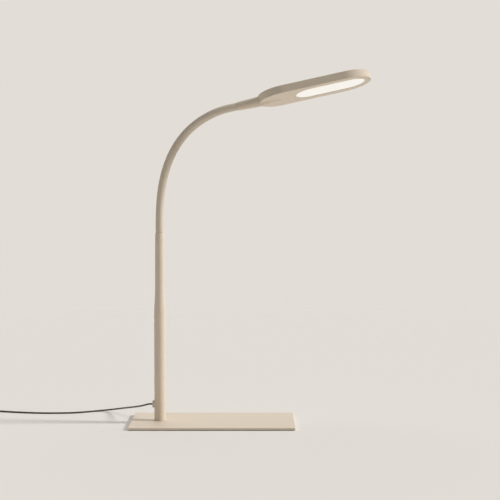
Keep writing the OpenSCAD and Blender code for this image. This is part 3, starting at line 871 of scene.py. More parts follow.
@dataclass
class SupplyCord:
    """The low-voltage cord with its coil and ties, in millimetres. It runs on into the adapter.

    Attributes:
        diameter: The cord's diameter.
        length: Its real length, in metres; it is not used.
        coil_centre: The middle of the coil on the floor.
        coil_radius: Radius of the coil's middle turn.
        columns: How many turns lie beside each other.
        layers: How many layers of turns lie on each other.
        turn_points: How many points a turn of the coil has.
        step_window: Degrees that a step from one turn to the next takes.
        step_lag: Degrees by which the step of each later row comes earlier in its turn.
        tie_thickness: Thickness of the ties, which also lift the coil off the floor.
        tie_slack: How much wider a tie is than the turns in it.
        tie_round: Radius of a tie's corners.
    """

    diameter: float = 2.5
    length: float = 1.5
    coil_centre: tuple[float, float] = (-356.0, 84.0)
    coil_radius: float = 15.0
    columns: int = 3
    layers: int = 4
    turn_points: int = 24
    step_window: float = 100.0
    step_lag: float = 36.0
    tie_thickness: float = 0.8
    tie_slack: float = 1.2
    tie_round: float = 1.6

    # The cord's points, listed from the gland to the coil and from the coil to the adapter.
    ROUTE = (
        (-89.4, 0, 28), (-93, 0, 28), (-97, 1, 27.2), (-101.5, 4, 25.6), (-107, 11, 23.3),
        (-113, 23, 20.6), (-120, 37, 17.6), (-128, 52, 14.4), (-136.5, 67, 11.2),
        (-145.5, 81, 8), (-155, 92, 5.2), (-165, 99, 3), (-175, 101, 1.7),
        (-185, 98.5, 1.3), (-195, 92.5, 1.3), (-205, 87, 1.3), (-216, 83, 1.3),
        (-230, 80.5, 1.3), (-246, 79.5, 1.3), (-262, 80, 1.3), (-278, 82, 1.3),
        (-294, 85.5, 1.3), (-310, 90, 1.3), (-326, 95, 1.4), (-341, 99.5, 1.8), (-356, 101.5, 2.1),
    )
    TAIL = (
        (-356, 101.5, 9.6), (-364, 101.7, 9), (-372, 102.5, 6.8), (-381, 104, 3.8), (-390, 106, 1.8),
        (-400, 108, 1.5), (-410, 109.5, 2.8), (-419, 110, 5.6), (-427, 110, 8.8), (-435, 110, 11.2),
        (-442, 110, 12), (-452, 110, 12), (-463, 110, 12), (-474, 110, 12),
    )

    def build(self) -> None:
        """Make the cord and what is on it."""
        line = [Vector(point) for point in self.ROUTE[:-1]]
        line += self._coil_points()
        line += [Vector(point) for point in self.TAIL]
        cord = self._cord(line)
        extras = [*self._ties(), *PlugAdapter(self.diameter).build()]

    def _coil_slots(self) -> list[tuple[float, float, int]]:
        """Place the turns of the coil, wound inwards and outwards in turn, layer on layer.

        Returns:
            The radius, the height and the row number of each turn; a row's steps share one window.
        """
        outer = self.coil_radius + (self.columns - 1) / 2 * self.diameter
        floor = self.tie_thickness + self.diameter / 2
        slots = []
        for layer in range(self.layers):
            height = floor + layer * self.diameter
            for step in range(self.columns):
                column = step if layer % 2 == 0 else self.columns - 1 - step
                climbs = step == self.columns - 1
                slots.append((outer - column * self.diameter, height, 2 * layer + climbs))
        return slots

    def _coil_points(self) -> list[Vector]:
        """Lay the points of the coil: each turn steps aside or up to the next one near its end.

        Returns:
            The points, from the floor on the coil's far side up to its top layer.
        """
        slots = self._coil_slots()
        centre = Vector((*self.coil_centre, 0.0))
        points = []
        for (radius, height, row), (next_radius, next_height, _) in zip(slots, slots[1:]):
            window_start = 360 - self.step_window - row * self.step_lag
            for step in range(self.turn_points):
                swept = 360 * step / self.turn_points
                share = min(max((swept - window_start) / self.step_window, 0.0), 1.0)
                share = share * share * (3 - 2 * share)
                across = radius + (next_radius - radius) * share
                angle = math.radians(90 + swept)
                rise = height + (next_height - height) * share
                points.append(centre + Vector((across * math.cos(angle), across * math.sin(angle), rise)))
        return points

    def _cord(self, line: Sequence[Vector]) -> Object:
        """Lay the cord along its points as one smooth curve.

        Args:
            line: The points, from the gland to the adapter.

        Returns:
            The curve object.
        """
        curve = bpy.data.curves.new("cord", "CURVE")
        curve.dimensions = "3D"
        curve.bevel_depth = self.diameter / 2 * MM
        curve.bevel_resolution = 3
        curve.resolution_u = 5
        curve.use_fill_caps = True
        spline = curve.splines.new("BEZIER")
        spline.bezier_points.add(len(line) - 1)
        for point, place in zip(spline.bezier_points, line):
            point.co = place * MM
            point.handle_left_type = "AUTO"
            point.handle_right_type = "AUTO"
        cord = add_object("supply_cord", curve)
        dress(cord, "cord_sleeve", ("cord", "cord_coil", "cord_tail"))
        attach(cord, "stand")
        LOG.info("supply_cord: %d points", len(line))
        return cord

    def _ties(self) -> list[Object]:
        """Make the two woven ties round the coil.

        Returns:
            The ties.
        """
        low, high = node_box("coil_ties")
        half = (self.columns * self.diameter + self.tie_slack) / 2 + self.tie_thickness
        ties = []
        for name, side in (("coil_tie_left", -1), ("coil_tie_right", 1)):
            x = self.coil_centre[0] + side * self.coil_radius
            band = block(Box(Vector((x - half, low.y, low.z)), Vector((x + half, high.y, high.z))))
            ends = [face for face in band.faces if not any(runs_along(edge, 1) for edge in face.edges)]
            bmesh.ops.delete(band, geom=ends, context="FACES")
            soften(band, self.tie_round, segments=5, pick=lambda edge: runs_along(edge, 1))
            bmesh.ops.recalc_face_normals(band, faces=band.faces)
            bmesh.ops.solidify(band, geom=band.faces, thickness=self.tie_thickness)
            ties.append(make_piece(name, band, "tie_strip", "stand", ("coil_ties",)))
        return ties


@dataclass
class PlugAdapter:
    """The plug-in adapter on the cord's far end: boot, half shells, pin face and pins, in millimetres.

    Attributes:
        cord_diameter: The cord's diameter.
        tip_wall: Wall of the boot's tip, round the cord.
        boot_edge: Radius of the edges at the boot's ends.
        ribs: How many ribs the boot has.
        rib_start: Where the ribs start, as a share of the boot's length.
        rib_span: How far they reach, as a share of it.
        rib_depth: Depth of the groove before each rib.
        rib_edge: Radius of a rib's edges.
        body_edge: Radius of the adapter's outer edges.
        seam: Width of the groove between the half shells.
        seam_edge: Radius of the edges beside that groove.
        face_reach: How far the pin face stands out of the half shells.
        face_inset: How far it lies inside their sides.
        face_depth: How far the pin face's block ends before the half shells do.
        face_corner: Radius of the pin face's corners.
        face_edge: Radius of its edges.
        pin_tip: Radius of a pin's tip.
        sleeve_length: Length of the moulded sleeve at a pin's root.
        sleeve_wall: Wall of that sleeve.
        sleeve_edge: Radius of its end's edge.
    """

    cord_diameter: float
    tip_wall: float = 0.85
    boot_edge: float = 0.3
    ribs: int = 5
    rib_start: float = 0.14
    rib_span: float = 0.72
    rib_depth: float = 0.55
    rib_edge: float = 0.2
    body_edge: float = 3.2
    seam: float = 0.35
    seam_edge: float = 0.3
    face_reach: float = 2.5
    face_inset: float = 3.0
    face_depth: float = 1.5
    face_corner: float = 2.6
    face_edge: float = 0.7
    pin_tip: float = 1.3
    sleeve_length: float = 10.0
    sleeve_wall: float = 0.1
    sleeve_edge: float = 0.2

    RIB = ((0.1, 1.0), (0.45, 1.0), (0.55, 0.0), (1.0, 0.0))  # shares of a rib's pitch and of its depth

    def build(self) -> list[Object]:
        """Make the adapter's pieces.

        Returns:
            The pieces.
        """
        return [self._boot(), *self._half_shells(), self._pin_face(), *self._pins()]

    def _boot(self) -> Object:
        """Make the ribbed boot where the cord enters the adapter.

        Returns:
            The boot.
        """
        box = node_box("adapter_boot")
        length = box.size.x
        root = box.size.z / 2
        bore = self.cord_diameter / 2
        tip = bore + self.tip_wall
        first = self.rib_start * length
        pitch = self.rib_span * length / self.ribs
        corners = [Corner(0, 0), Corner(root, 0), Corner(root, first, self.boot_edge)]
        for rib in range(self.ribs):
            start = first + rib * pitch
            radius = root + (tip - root) * (start + pitch) / length
            corners += [
                Corner(radius - depth * self.rib_depth, start + share * pitch, self.rib_edge)
                for share, depth in self.RIB
            ]
        corners += [Corner(tip, length, self.boot_edge), Corner(bore, length), Corner(0, length)]
        boot = turned(corners, closed=False, steps=PLUG_STEPS, segments=3)
        place = Matrix.Translation((box.low.x, box.middle.y, box.middle.z)) @ ALONG_X
        return make_piece("adapter_boot_ribbed", boot, "cord_sleeve", "stand", ("adapter_boot",), place)

    def _half_shells(self) -> list[Object]:
        """Make the two half shells, with a fine groove between them.

        Returns:
            The half shells.
        """
        box = node_box("adapter_body")
        low, high = box
        seam_z = box.middle.z
        halves = []
        for name, bottom, top, replaced in (
            ("adapter_lower_shell", low.z, seam_z - self.seam / 2, ("adapter_body",)),
            ("adapter_upper_shell", seam_z + self.seam / 2, high.z, ()),
        ):
            near = Vector((low.x + self.face_reach, low.y, bottom))
            shell = block(Box(near, Vector((high.x, high.y, top))))
            soften(
                shell,
                self.body_edge,
                segments=6,
                pick=lambda edge: max(abs(vert.co.z - seam_z) for vert in edge.verts) > self.seam,
            )
            soften(shell, self.seam_edge, segments=2)
            halves.append(make_piece(name, shell, "adapter_plastic", "stand", replaced))
        return halves

    def _pin_face(self) -> Object:
        """Make the block that holds the pins.

        Returns:
            The block.
        """
        low, high = node_box("adapter_body")
        inset = self.face_inset
        near = Vector((low.x, low.y + inset, low.z + inset))
        face = block(Box(near, Vector((high.x - self.face_depth, high.y - inset, high.z - inset))))
        soften(face, self.face_corner, segments=6, pick=lambda edge: runs_along(edge, 0))
        soften(face, self.face_edge, segments=4)
        return make_piece("adapter_pin_face", face, "adapter_plastic", "stand")

    def _pins(self) -> list[Object]:
        """Make the two round pins, each with a moulded sleeve at its root.

        Returns:
            The pins and the sleeves, each pair as one piece.
        """
        low, high = node_box("plug_pins")
        radius = (high.z - low.z) / 2
        place = Matrix.Translation((high.x, low.y + radius, low.z + radius)) @ AGAINST_X
        pieces = []
        for name, across, length, edge, slot, replaced in (
            ("plug_pins_turned", radius - self.sleeve_wall, high.x - low.x, self.pin_tip, "pin_nickel",
             ("plug_pins",)),
            ("plug_pin_sleeves", radius, self.sleeve_length, self.sleeve_edge, "black_plastic", ()),
        ):
            corners = [Corner(0, 0), Corner(across, 0), Corner(across, length, edge), Corner(0, length)]
            pair = turned(corners, closed=False, steps=PLUG_STEPS)
            bmesh.ops.transform(pair, matrix=place, verts=pair.verts)
            second = bmesh.ops.duplicate(pair, geom=whole(pair))["geom"]
            verts = [part for part in second if isinstance(part, BMVert)]
            bmesh.ops.translate(pair, verts=verts, vec=(0, high.y - low.y - 2 * radius, 0))
            pieces.append(make_piece(name, pair, slot, "stand", replaced))
        return pieces


# ---- base and post ----


@dataclass
class BasePlate:
    """The flat steel plate that the lamp stands on, in millimetres.

    Attributes:
        corner_radius: Radius of its corners, seen from above.
        edge_radius: Radius of its upper and lower edges.
    """

    corner_radius: float = 1.2
    edge_radius: float = 0.4

    def build(self) -> None:
        """Make the plate."""
        plate = block(node_box("base_plate"))
        soften(plate, self.corner_radius, segments=6, pick=lambda edge: runs_along(edge, 2))
        soften(plate, self.edge_radius, segments=3)
        make_piece("base_plate_painted", plate, "post_paint", "stand", ("base_plate",))


@dataclass
class Post:
    """The post: lower tube, reducer cone, middle tube, neck collar and cable gland, in millimetres.

    Attributes:
        wall: Wall of the lower tube.
        foot_edge: Radius of the lower tube's edge on the plate.
        seam: Radius of the edges where two pieces of the post meet.
        fit: Clearance of a plug in its tube.
        plug_edge: Radius of a plug's end.
        lead_bore: Radius of the bore through the cone.
        middle_bore: Radius of the middle tube's bore.
        collar_bore: Radius of the bore through the collar.
        collar_mouth: Radius of the collar's mouth, round the neck.
        collar_rim: Width of the collar's upper edge.
        rim_edge: Radius of that edge.
        mouth_depth: Depth of the collar's mouth.
        outlet_height: Height of the cord's outlet above the plate.
        gland_bore: Radius of the gland's bore.
        gland_neck: Radius of the gland where it passes through the tube.
        gland_grip: How far it reaches past the tube's wall.
        gland_seat: Gap between its flange and the tube.
        gland_bevel: Bevel of the flange.
        bevel_edge: Radius of that bevel's edges.
        bore_edge: Radius of the edge of the gland's bore.
    """

    wall: float = 1.5
    foot_edge: float = 0.2
    seam: float = 0.3
    fit: float = 0.05
    plug_edge: float = 0.5
    lead_bore: float = 3.5
    middle_bore: float = 5.75
    collar_bore: float = 2.0
    collar_mouth: float = 5.86
    collar_rim: float = 0.2
    rim_edge: float = 0.15
    mouth_depth: float = 4.0
    outlet_height: float = 24.0
    gland_bore: float = 1.35
    gland_neck: float = 3.0
    gland_grip: float = 1.0
    gland_seat: float = 0.03
    gland_bevel: float = 1.2
    bevel_edge: float = 0.4
    bore_edge: float = 0.25

    def build(self) -> None:
        """Make the post's pieces."""
        foot = post_foot()
        axis = Matrix.Translation((foot.x, foot.y, 0.0))
        for name, node, mesh in (
            ("lower_post_tube", "lower_post", self._lower_tube()),
            ("reducer_cone_turned", "reducer_cone", self._reducer_cone()),
            ("middle_tube_drawn", "middle_tube", self._middle_tube()),
            ("neck_collar_turned", "neck_collar", self._collar()),
        ):
            make_piece(name, mesh, "post_paint", "stand", (node,), axis)
        make_piece("cable_gland_bush", self._gland(), "gland_plastic", "stand", ("cable_gland",))

    def _lower_tube(self) -> BMesh:
        """Make the lower tube, with the hole for the gland in its wall.

        Returns:
            The tube.
        """
        low, high = node_box("lower_post")
        radius = node_radius("lower_post")
        bore = radius - self.wall
        tube = turned([
            Corner(radius, low.z, self.foot_edge),
            Corner(radius, high.z, self.seam),
            Corner(bore, high.z),
            Corner(bore, low.z),
        ])
        outlet = low.z + self.outlet_height
        for height in (outlet - self.gland_neck, outlet + self.gland_neck):
            bmesh.ops.bisect_plane(tube, geom=whole(tube), plane_co=(0, 0, height), plane_no=(0, 0, 1))
        hole = [
            face
            for face, middle in ((face, face.calc_center_median()) for face in tube.faces)
            if middle.x < 0 and max(abs(middle.y), abs(middle.z - outlet)) < self.gland_neck
        ]
        bmesh.ops.delete(tube, geom=hole, context="FACES")
        bmesh.ops.bridge_loops(tube, edges=[edge for edge in tube.edges if edge.is_boundary])
        return tube

    def _reducer_cone(self) -> BMesh:
        """Make the cone between the two tubes, with its plugs.

        Returns:
            The cone.
        """
        low, high = node_box("reducer_cone")
        foot = node_box("lower_post").high.z
        top = node_box("middle_tube").low.z
        foot_radius = node_radius("reducer_cone")
        foot_plug = foot_radius - self.wall - self.fit
        top_plug = self.middle_bore - self.fit
        return turned([
            Corner(foot_radius, foot, self.seam),
            Corner(node_radius("middle_tube"), top, self.seam),
            Corner(top_plug, top),
            Corner(top_plug, high.z, self.plug_edge),
            Corner(self.lead_bore, high.z),
            Corner(self.lead_bore, low.z),
            Corner(foot_plug, low.z, self.plug_edge),
            Corner(foot_plug, foot),
        ])

    def _middle_tube(self) -> BMesh:
        """Make the slim tube above the cone.

        Returns:
            The tube.
        """
        low, high = node_box("middle_tube")
        return turned([
            Corner(node_radius("middle_tube"), low.z, self.seam),
            Corner(node_radius("neck_collar"), high.z, self.seam),
            Corner(self.middle_bore, high.z),
            Corner(self.middle_bore, low.z),
        ])

    def _collar(self) -> BMesh:
        """Make the tapered collar that holds the neck.

        Returns:
            The collar.
        """
        low, high = node_box("neck_collar")
        foot = node_box("middle_tube").high.z
        mouth = high.z - self.mouth_depth
        plug = self.middle_bore - self.fit
        return turned([
            Corner(node_radius("neck_collar"), foot, self.seam),
            Corner(self.collar_mouth + self.collar_rim, high.z, self.rim_edge),
            Corner(self.collar_mouth, high.z),
            Corner(self.collar_mouth, mouth),
            Corner(self.collar_bore, mouth),
            Corner(self.collar_bore, low.z),
            Corner(plug, low.z, self.plug_edge),
            Corner(plug, foot),
        ])

    def _gland(self) -> BMesh:
        """Make the bush round the cord, whose flange lies against the tube.

        Returns:
            The bush.
        """
        box = node_box("cable_gland")
        post_radius = node_radius("lower_post")
        axis = post_foot()
        radius = box.size.z / 2
        neck = self.gland_neck - self.fit
        reach = axis.x - post_radius - box.low.x
        inner = reach + self.wall + self.gland_grip
        corners = [
            Corner(self.gland_bore, 0, self.bore_edge),
            Corner(radius - self.gland_bevel, 0, self.bevel_edge),
            Corner(radius, self.gland_bevel, self.bevel_edge),
            Corner(radius, reach),
            Corner(neck, reach),
            Corner(neck, inner),
            Corner(self.gland_bore, inner),
        ]
        gland = turned(corners, steps=SMALL_STEPS)
        place = Matrix.Translation((box.low.x, axis.y, box.middle.z)) @ ALONG_X
        bmesh.ops.transform(gland, matrix=place, verts=gland.verts)
        for vert in gland.verts:
            if abs(vert.co.x - box.low.x - reach) < MERGE:
                aside = vert.co.y - axis.y
                vert.co.x = axis.x - math.sqrt(post_radius**2 - aside**2) - self.gland_seat
        return gland


# ---- neck ----


@dataclass
class Gooseneck:
    """The close-wound neck, in millimetres, as one ribbed sleeve across each joint.

    A sleeve runs from the middle of one section to the middle of the next.

    Attributes:
        radius: The neck's outer radius.
        ribs: How many ribs a sleeve has.
        rib_depth: Depth of the groove between two ribs.
        grip: How far the neck reaches into the collar and into the ferrule.
        gap_height: Height of the shadow gap where the neck leaves the collar.
        gap_sink: How far the gap reaches down into the collar.
        gap_depth: Depth of the gap.
        gap_ramp: Height over which the gap narrows and widens.
        steps: How many steps a ring has.
    """

    radius: float = 5.8
    ribs: int = 15
    rib_depth: float = 0.08
    grip: float = 3.0
    gap_height: float = 0.8
    gap_sink: float = 0.4
    gap_depth: float = 0.5
    gap_ramp: float = 0.1
    steps: int = 48

    RIB = ((0.0, 1.0), (0.2, 0.35), (0.5, 0.0), (0.8, 0.35))  # shares of a rib's pitch and of its depth

    def build(self) -> None:
        """Make the sleeves from the collar to the ferrule."""
        joints = neck_joints()
        points = neck_points()
        for number, joint in enumerate(joints, start=1):
            self._sleeve(number, points[number - 1 : number + 2], number == len(joints))

    def _sleeve(self, number: int, points: Sequence[Vector], last: bool) -> None:
        """Make the sleeve across one joint.

        Args:
            number: The sleeve's number, counted from the collar.
            points: The corner of the neck's axis before the joint, the joint's own, and the one after.
            last: Whether the sleeve ends in the ferrule.
        """
        before, corner, after = points
        start = before.lerp(corner, 0.5)
        end = corner.lerp(after, 0.5)
        heading = (corner - before).normalized()
        next_heading = (after - corner).normalized()
        turn = heading.angle(next_heading)
        lean = math.atan2(heading.x, heading.z)
        half = (corner - start).length
        bend_radius = half / math.tan(turn / 2)
        pivot = start + Vector((heading.z, 0.0, -heading.x)) * bend_radius
        arc = bend_radius * turn
        upright = Matrix.Rotation(lean, 4, "Y")

        def station(distance: float) -> Matrix:
            """Place a ring on the arc, or on the straight line before or after it.

            Args:
                distance: The ring's distance from the arc's start.

            Returns:
                The place, in millimetres.
            """
            if distance < 0:
                return Matrix.Translation(start + heading * distance) @ upright
            if distance > arc:
                onward = Matrix.Translation(end + next_heading * (distance - arc))
                return onward @ Matrix.Rotation(lean + turn, 4, "Y")
            swing = Matrix.Rotation(turn * distance / arc, 4, "Y")
            return Matrix.Translation(pivot) @ swing @ Matrix.Translation(start - pivot) @ upright

        pitch = arc / self.ribs
        lead_in = round((half + self.grip) / pitch)
        first_rib = -lead_in if number == 1 else 0
        end_rib = self.ribs + (lead_in if last else 0)
        ribs = range(first_rib, end_rib)
        rings = [((rib + share) * pitch, depth) for rib in ribs for share, depth in self.RIB]
        rings.append((end_rib * pitch, self.RIB[0][1]))
        if number == 1:
            rings = self._with_gap(rings, -half)
        nodes = [f"neck_section_{section:02d}" for section in range(number, number + (2 if last else 1))]
        mesh = self._ribbed(rings, station)
        sleeve = make_piece(f"neck_sleeve_{number:02d}", mesh, "neck_paint", None, nodes)
        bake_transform(sleeve)

    def _with_gap(self, rings: Profile, mouth: float) -> Profile:
        """Narrow the neck where it leaves the collar.

        Args:
            rings: The distance and the groove's depth of each ring.
            mouth: The distance at which the collar ends.

        Returns:
            The rings, with those of the gap in place of the ribs there.
        """
        low = mouth - self.gap_sink
        high = mouth + self.gap_height
        deep = self.gap_depth / self.rib_depth
        gap = [(low, 0.0), (low + self.gap_ramp, deep), (high, deep), (high + self.gap_ramp, 0.0)]
        kept = [ring for ring in rings if not low <= ring[0] <= high + self.gap_ramp]
        return sorted([*kept, *gap])

    def _ribbed(self, rings: Profile, station: Callable[[float], Matrix]) -> BMesh:
        """Extrude a ring along its stations, and note how deep each ring lies in a groove; the finish paints
        the grooves darker by that depth, as painted shade.

        Args:
            rings: The distance and the groove's depth of each ring, with a rib's groove as 1.
            station: Gives the place of a ring by its distance.

        Returns:
            The closed sleeve.
        """
        mesh = bmesh.new()
        groove = mesh.verts.layers.float.new("groove")
        verts = bmesh.ops.create_circle(mesh, segments=self.steps, radius=1.0)["verts"]
        edges = loop_edges(verts)
        held = Matrix.Identity(4)
        for index, (distance, depth) in enumerate(rings):
            if index:
                verts, edges = next_ring(mesh, edges)
            place = station(distance) @ Matrix.Scale(self.radius - depth * self.rib_depth, 4)
            bmesh.ops.transform(mesh, matrix=place @ held.inverted(), verts=verts)
            held = place
            # painted shade: how deep the ring lies in a groove, up to a full rib's groove, sets how much
            # darker it is painted
            for vert in verts:
                vert[groove] = min(depth, 1.0)
        ends = [edge for edge in mesh.edges if edge.is_boundary]
        bmesh.ops.holes_fill(mesh, edges=ends, sides=self.steps)
        return mesh


# ---- head ----


@dataclass
class PushButton:
    """The dished push button on the head, in millimetres.

    Attributes:
        place: Where it lies along the head.
        radius: Its radius.
        proud: How far it stands above the head.
        play: Clearance round it.
        dish: Depth of the dish in its top.
        rim: Width of the rim round the dish.
        rim_slope: How much lower that rim is on its inner side.
        dish_round: Radius between the rim and the dish.
        edge: Radius of the button's upper edge.
        flange: How far its flange reaches under the shell.
        flange_thickness: Thickness of the flange.
        flange_edge: Radius of the flange's edges.
        flange_play: Clearance between the flange and the shell.
    """

    place: float = 36.0
    radius: float = 6.0
    proud: float = 0.9
    play: float = 0.1
    dish: float = 0.4
    rim: float = 0.9
    rim_slope: float = 0.05
    dish_round: float = 3.0
    edge: float = 0.35
    flange: float = 1.0
    flange_thickness: float = 0.8
    flange_edge: float = 0.1
    flange_play: float = 0.2

    def mesh(self, outer_z: float, inner_z: float) -> BMesh:
        """Make the button.

        Args:
            outer_z: Height of the head's top.
            inner_z: Height of the inner side of that wall.

        Returns:
            The button, in the head's frame.
        """
        crown = outer_z + self.proud
        top = inner_z - self.flange_play
        bottom = top - self.flange_thickness
        reach = self.radius + self.flange
        corners = [
            Corner(0, crown - self.dish),
            Corner(self.radius - self.rim, crown - self.rim_slope, self.dish_round),
            Corner(self.radius, crown, self.edge),
            Corner(self.radius, top),
            Corner(reach, top, self.flange_edge),
            Corner(reach, bottom, self.flange_edge),
            Corner(0, bottom),
        ]
        button = turned(corners, closed=False, steps=SMALL_STEPS)
        bmesh.ops.translate(button, verts=button.verts, vec=(self.place, 0, 0))
        return button


@dataclass
class Head:
    """The flat oval head, built in its own frame, in millimetres.

    X runs from the ferrule to the tip, and Z from the underside up.

    Attributes:
        length: The head's length.
        width: The head's width.
        thickness: The head's thickness.
        wall: Wall of the shell's side.
        top: Wall of the shell's top.
        top_edge: Radius of the shell's upper edge.
        low_edge: Radius of the shell's lower edges and of the cover's edges.
        inner_edge: Radius of the shell's edge inside, under its top.
        hole_edge: Radius of the edge of the button's hole.
        top_margin: Width of the ring of the shell's top along its edge.
        gap: Clearance between the shell and the cover, and round the diffuser in the window.
        cover_thickness: Thickness of the cover.
        cover_margin: Width of the rings of the cover's underside along its edge and along the window.
        cover_cuts: How many loops the underside has between those rings.
        window_length: Length of the light window.
        window_width: Width of the light window.
        window_tip: Distance from the window to the tip of the head.
        diffuser_depth: Depth of the diffuser's face in the window.
        diffuser_edge: Radius of the edge of that face.
        diffuser_core: Half the width of the innermost ring of that face.
        diffuser_rim: Width of the diffuser's rim behind the cover.
        rim_thickness: Thickness of that rim.
        rim_edges: Radii of its edges, on the cover's side and inside.
        glow_edge: Width of the darker edge of the lit diffuser.
        glow_low: The glow at that edge, as a share of the glow within.
        axis_height: Height of the neck's axis above the underside.
        ferrule_length: Length of the ferrule.
        flare: The ferrule's radius at its mouth and further on, each with the distance from the mouth.
        mouth_edge: Radius of the edge of its mouth.
        neck_bore: Radius of its bore, round the neck.
        bore_depth: Depth of that bore.
        foot_edge: Radius of the ferrule's edge at the shell.
        foot_gap: Gap between the ferrule and the shell.
        spigot_radius: Radius of the ferrule's spigot in the head.
        spigot_reach: Length of that spigot.
        spigot_edge: Radius of the spigot's edge.
        fairing_length: Length of the fairing on the underside.
        fairing_start: Radius of the fairing at the ferrule.
        fairing_end: Radius of the fairing at its far end.
        fairing_drop: How far the fairing's axis sinks over its length.
        fairing_blend: Width over which the fairing's foot runs into the underside.
        button: The push button.
    """

    length: float = 167.0
    width: float = 75.0
    thickness: float = 11.5
    wall: float = 1.6
    top: float = 1.8
    top_edge: float = 1.4
    low_edge: float = 0.25
    inner_edge: float = 0.6
    hole_edge: float = 0.25
    top_margin: float = 5.0
    gap: float = 0.1
    cover_thickness: float = 1.8
    cover_margin: float = 0.6
    cover_cuts: int = 40
    window_length: float = 103.0
    window_width: float = 47.0
    window_tip: float = 9.0
    diffuser_depth: float = 0.6
    diffuser_edge: float = 0.15
    diffuser_core: float = 1.5
    diffuser_rim: float = 3.0
    rim_thickness: float = 1.2
    rim_edges: tuple[float, float] = (0.1, 0.2)
    glow_edge: float = 1.6
    glow_low: float = 0.55
    axis_height: float = 3.8
    ferrule_length: float = 31.0
    flare: tuple[tuple[float, float], ...] = ((6.15, 0.0), (6.55, 4.5), (7.0, 16.0))
    mouth_edge: float = 0.12
    neck_bore: float = 5.9
    bore_depth: float = 7.0
    foot_edge: float = 0.15
    foot_gap: float = 0.05
    spigot_radius: float = 3.6
    spigot_reach: float = 16.0
    spigot_edge: float = 0.4
    fairing_length: float = 42.0
    fairing_start: float = 7.5
    fairing_end: float = 2.0
    fairing_drop: float = 1.4
    fairing_blend: float = 0.9
    button: PushButton = field(default_factory=PushButton)

    GLOW_INSETS = (15.0, 9.0, 5.0, 3.0, 2.0, 1.5, 1.0, 0.6)  # of the rings of the diffuser's face

    @property
    def inner_z(self) -> float:
        """Give the height of the inner side of the shell's top."""
        return self.thickness - self.top

    @property
    def outline(self) -> Oval:
        """Give the head's outline."""
        return Oval(self.length, self.width, self.length / 2)

    @property
    def window(self) -> Oval:
        """Give the light window's outline."""
        middle = self.length - self.window_tip - self.window_length / 2
        return Oval(self.window_length, self.window_width, middle)

    def build(self) -> None:
        """Make the ferrule and the head's visible pieces."""
        along, across, up = head_axes()
        origin = neck_points()[-1] + along * self.ferrule_length - up * self.axis_height
        place = Matrix.Translation(origin) @ Matrix((along, across, up)).transposed().to_4x4()
        for name, slot, body, node, mesh in (
            ("ferrule_turned", "post_paint", "head", "ferrule", self._ferrule()),
            ("head_top_shell", "head_paint", "head", "head_shell", self._shell()),
            ("head_underside_cover", "head_paint", "head", "head_cover", self._cover()),
            ("diffuser_opal", "opal_diffuser", "head", "diffuser", self._diffuser()),
            ("push_button_dished", "head_paint", "button", "push_button",
             self.button.mesh(self.thickness, self.inner_z)),
        ):
            make_piece(name, mesh, slot, body, (node,), place)

    def _drop(self, x: float, y: float) -> float:
        """Tell how far the fairing stands below the flat underside.

        Args:
            x: Place along the head.
            y: Place across it.

        Returns:
            The drop, which runs smoothly to nothing at the fairing's foot.
        """
        share = min(max(x / self.fairing_length, 0.0), 1.0)
        radius = self.fairing_start + (self.fairing_end - self.fairing_start) * share
        axis = self.axis_height - self.fairing_drop * share
        depth = math.sqrt(max(radius**2 - y**2, 0.0)) - axis
        blend = max(self.fairing_blend * (1 - share), MERGE)
        overlap = max(blend - abs(depth), 0.0) / blend
        return max(depth, 0.0) + overlap * overlap * blend / 4

    def _lower(self, mesh: BMesh) -> None:
        """Draw the underside and its edges down to the fairing.

        Args:
            mesh: The mesh, in the head's frame.
        """
        for vert in mesh.verts:
            if vert.co.z < self.low_edge + MERGE:
                vert.co.z -= self._drop(vert.co.x, vert.co.y)

    def _ferrule(self) -> BMesh:
        """Make the tapered ferrule, whose end fits against the shell's round end.

        Returns:
            The ferrule.
        """
        foot = self.ferrule_length
        end = foot + self.spigot_reach
        mouth, *flare = (Corner(*point) for point in self.flare)
        ferrule = turned([
            Corner(0, self.bore_depth),
            Corner(self.neck_bore, self.bore_depth),
            Corner(self.neck_bore, 0),
            mouth._replace(radius=self.mouth_edge),
            *flare,
            Corner(self.fairing_start, foot, self.foot_edge),
            Corner(self.spigot_radius, foot),
            Corner(self.spigot_radius, end, self.spigot_edge),
            Corner(0, end),
        ], closed=False)
        to_head = Matrix.Translation((-foot, 0, self.axis_height)) @ ALONG_X
        bmesh.ops.transform(ferrule, matrix=to_head, verts=ferrule.verts)
        bow = self.width / 2
        for vert in ferrule.verts:
            if abs(vert.co.x) < 2 * self.foot_edge:
                vert.co.x += bow - math.sqrt(bow**2 - vert.co.y**2) - self.foot_gap
        return ferrule

    def _shell(self) -> BMesh:
        """Make the shell: the top and the side, with the hole for the push button.

        Returns:
            The shell.
        """
        shell = bmesh.new()
        corners = [
            Corner(self.top_margin, self.thickness),
            Corner(0, self.thickness, self.top_edge),
            Corner(0, 0, self.low_edge),
            Corner(self.wall, 0, self.low_edge),
            Corner(self.wall, self.inner_z, self.inner_edge),
            Corner(self.top_margin, self.inner_z),
        ]
        outer, inner = sweep_ovals(shell, stations(self.outline, corners))
        radius = self.button.radius + self.button.play
        rim = [
            Corner(radius + self.button.flange, self.thickness),
            Corner(radius, self.thickness, self.hole_edge),
            Corner(radius, self.inner_z),
        ]
        hole = []
        for across, height in rounded(rim):
            place = Matrix.Translation((self.button.place, 0, height))
            circle = bmesh.ops.create_circle(shell, segments=SMALL_STEPS, radius=across, matrix=place)
            hole.append(loop_edges(circle["verts"]))
        for first, second in zip(hole, hole[1:]):
            bmesh.ops.bridge_loops(shell, edges=first + second)
        capped(shell, outer, hole[0])
        capped(shell, inner, hole[-1])
        self._lower(shell)
        return shell

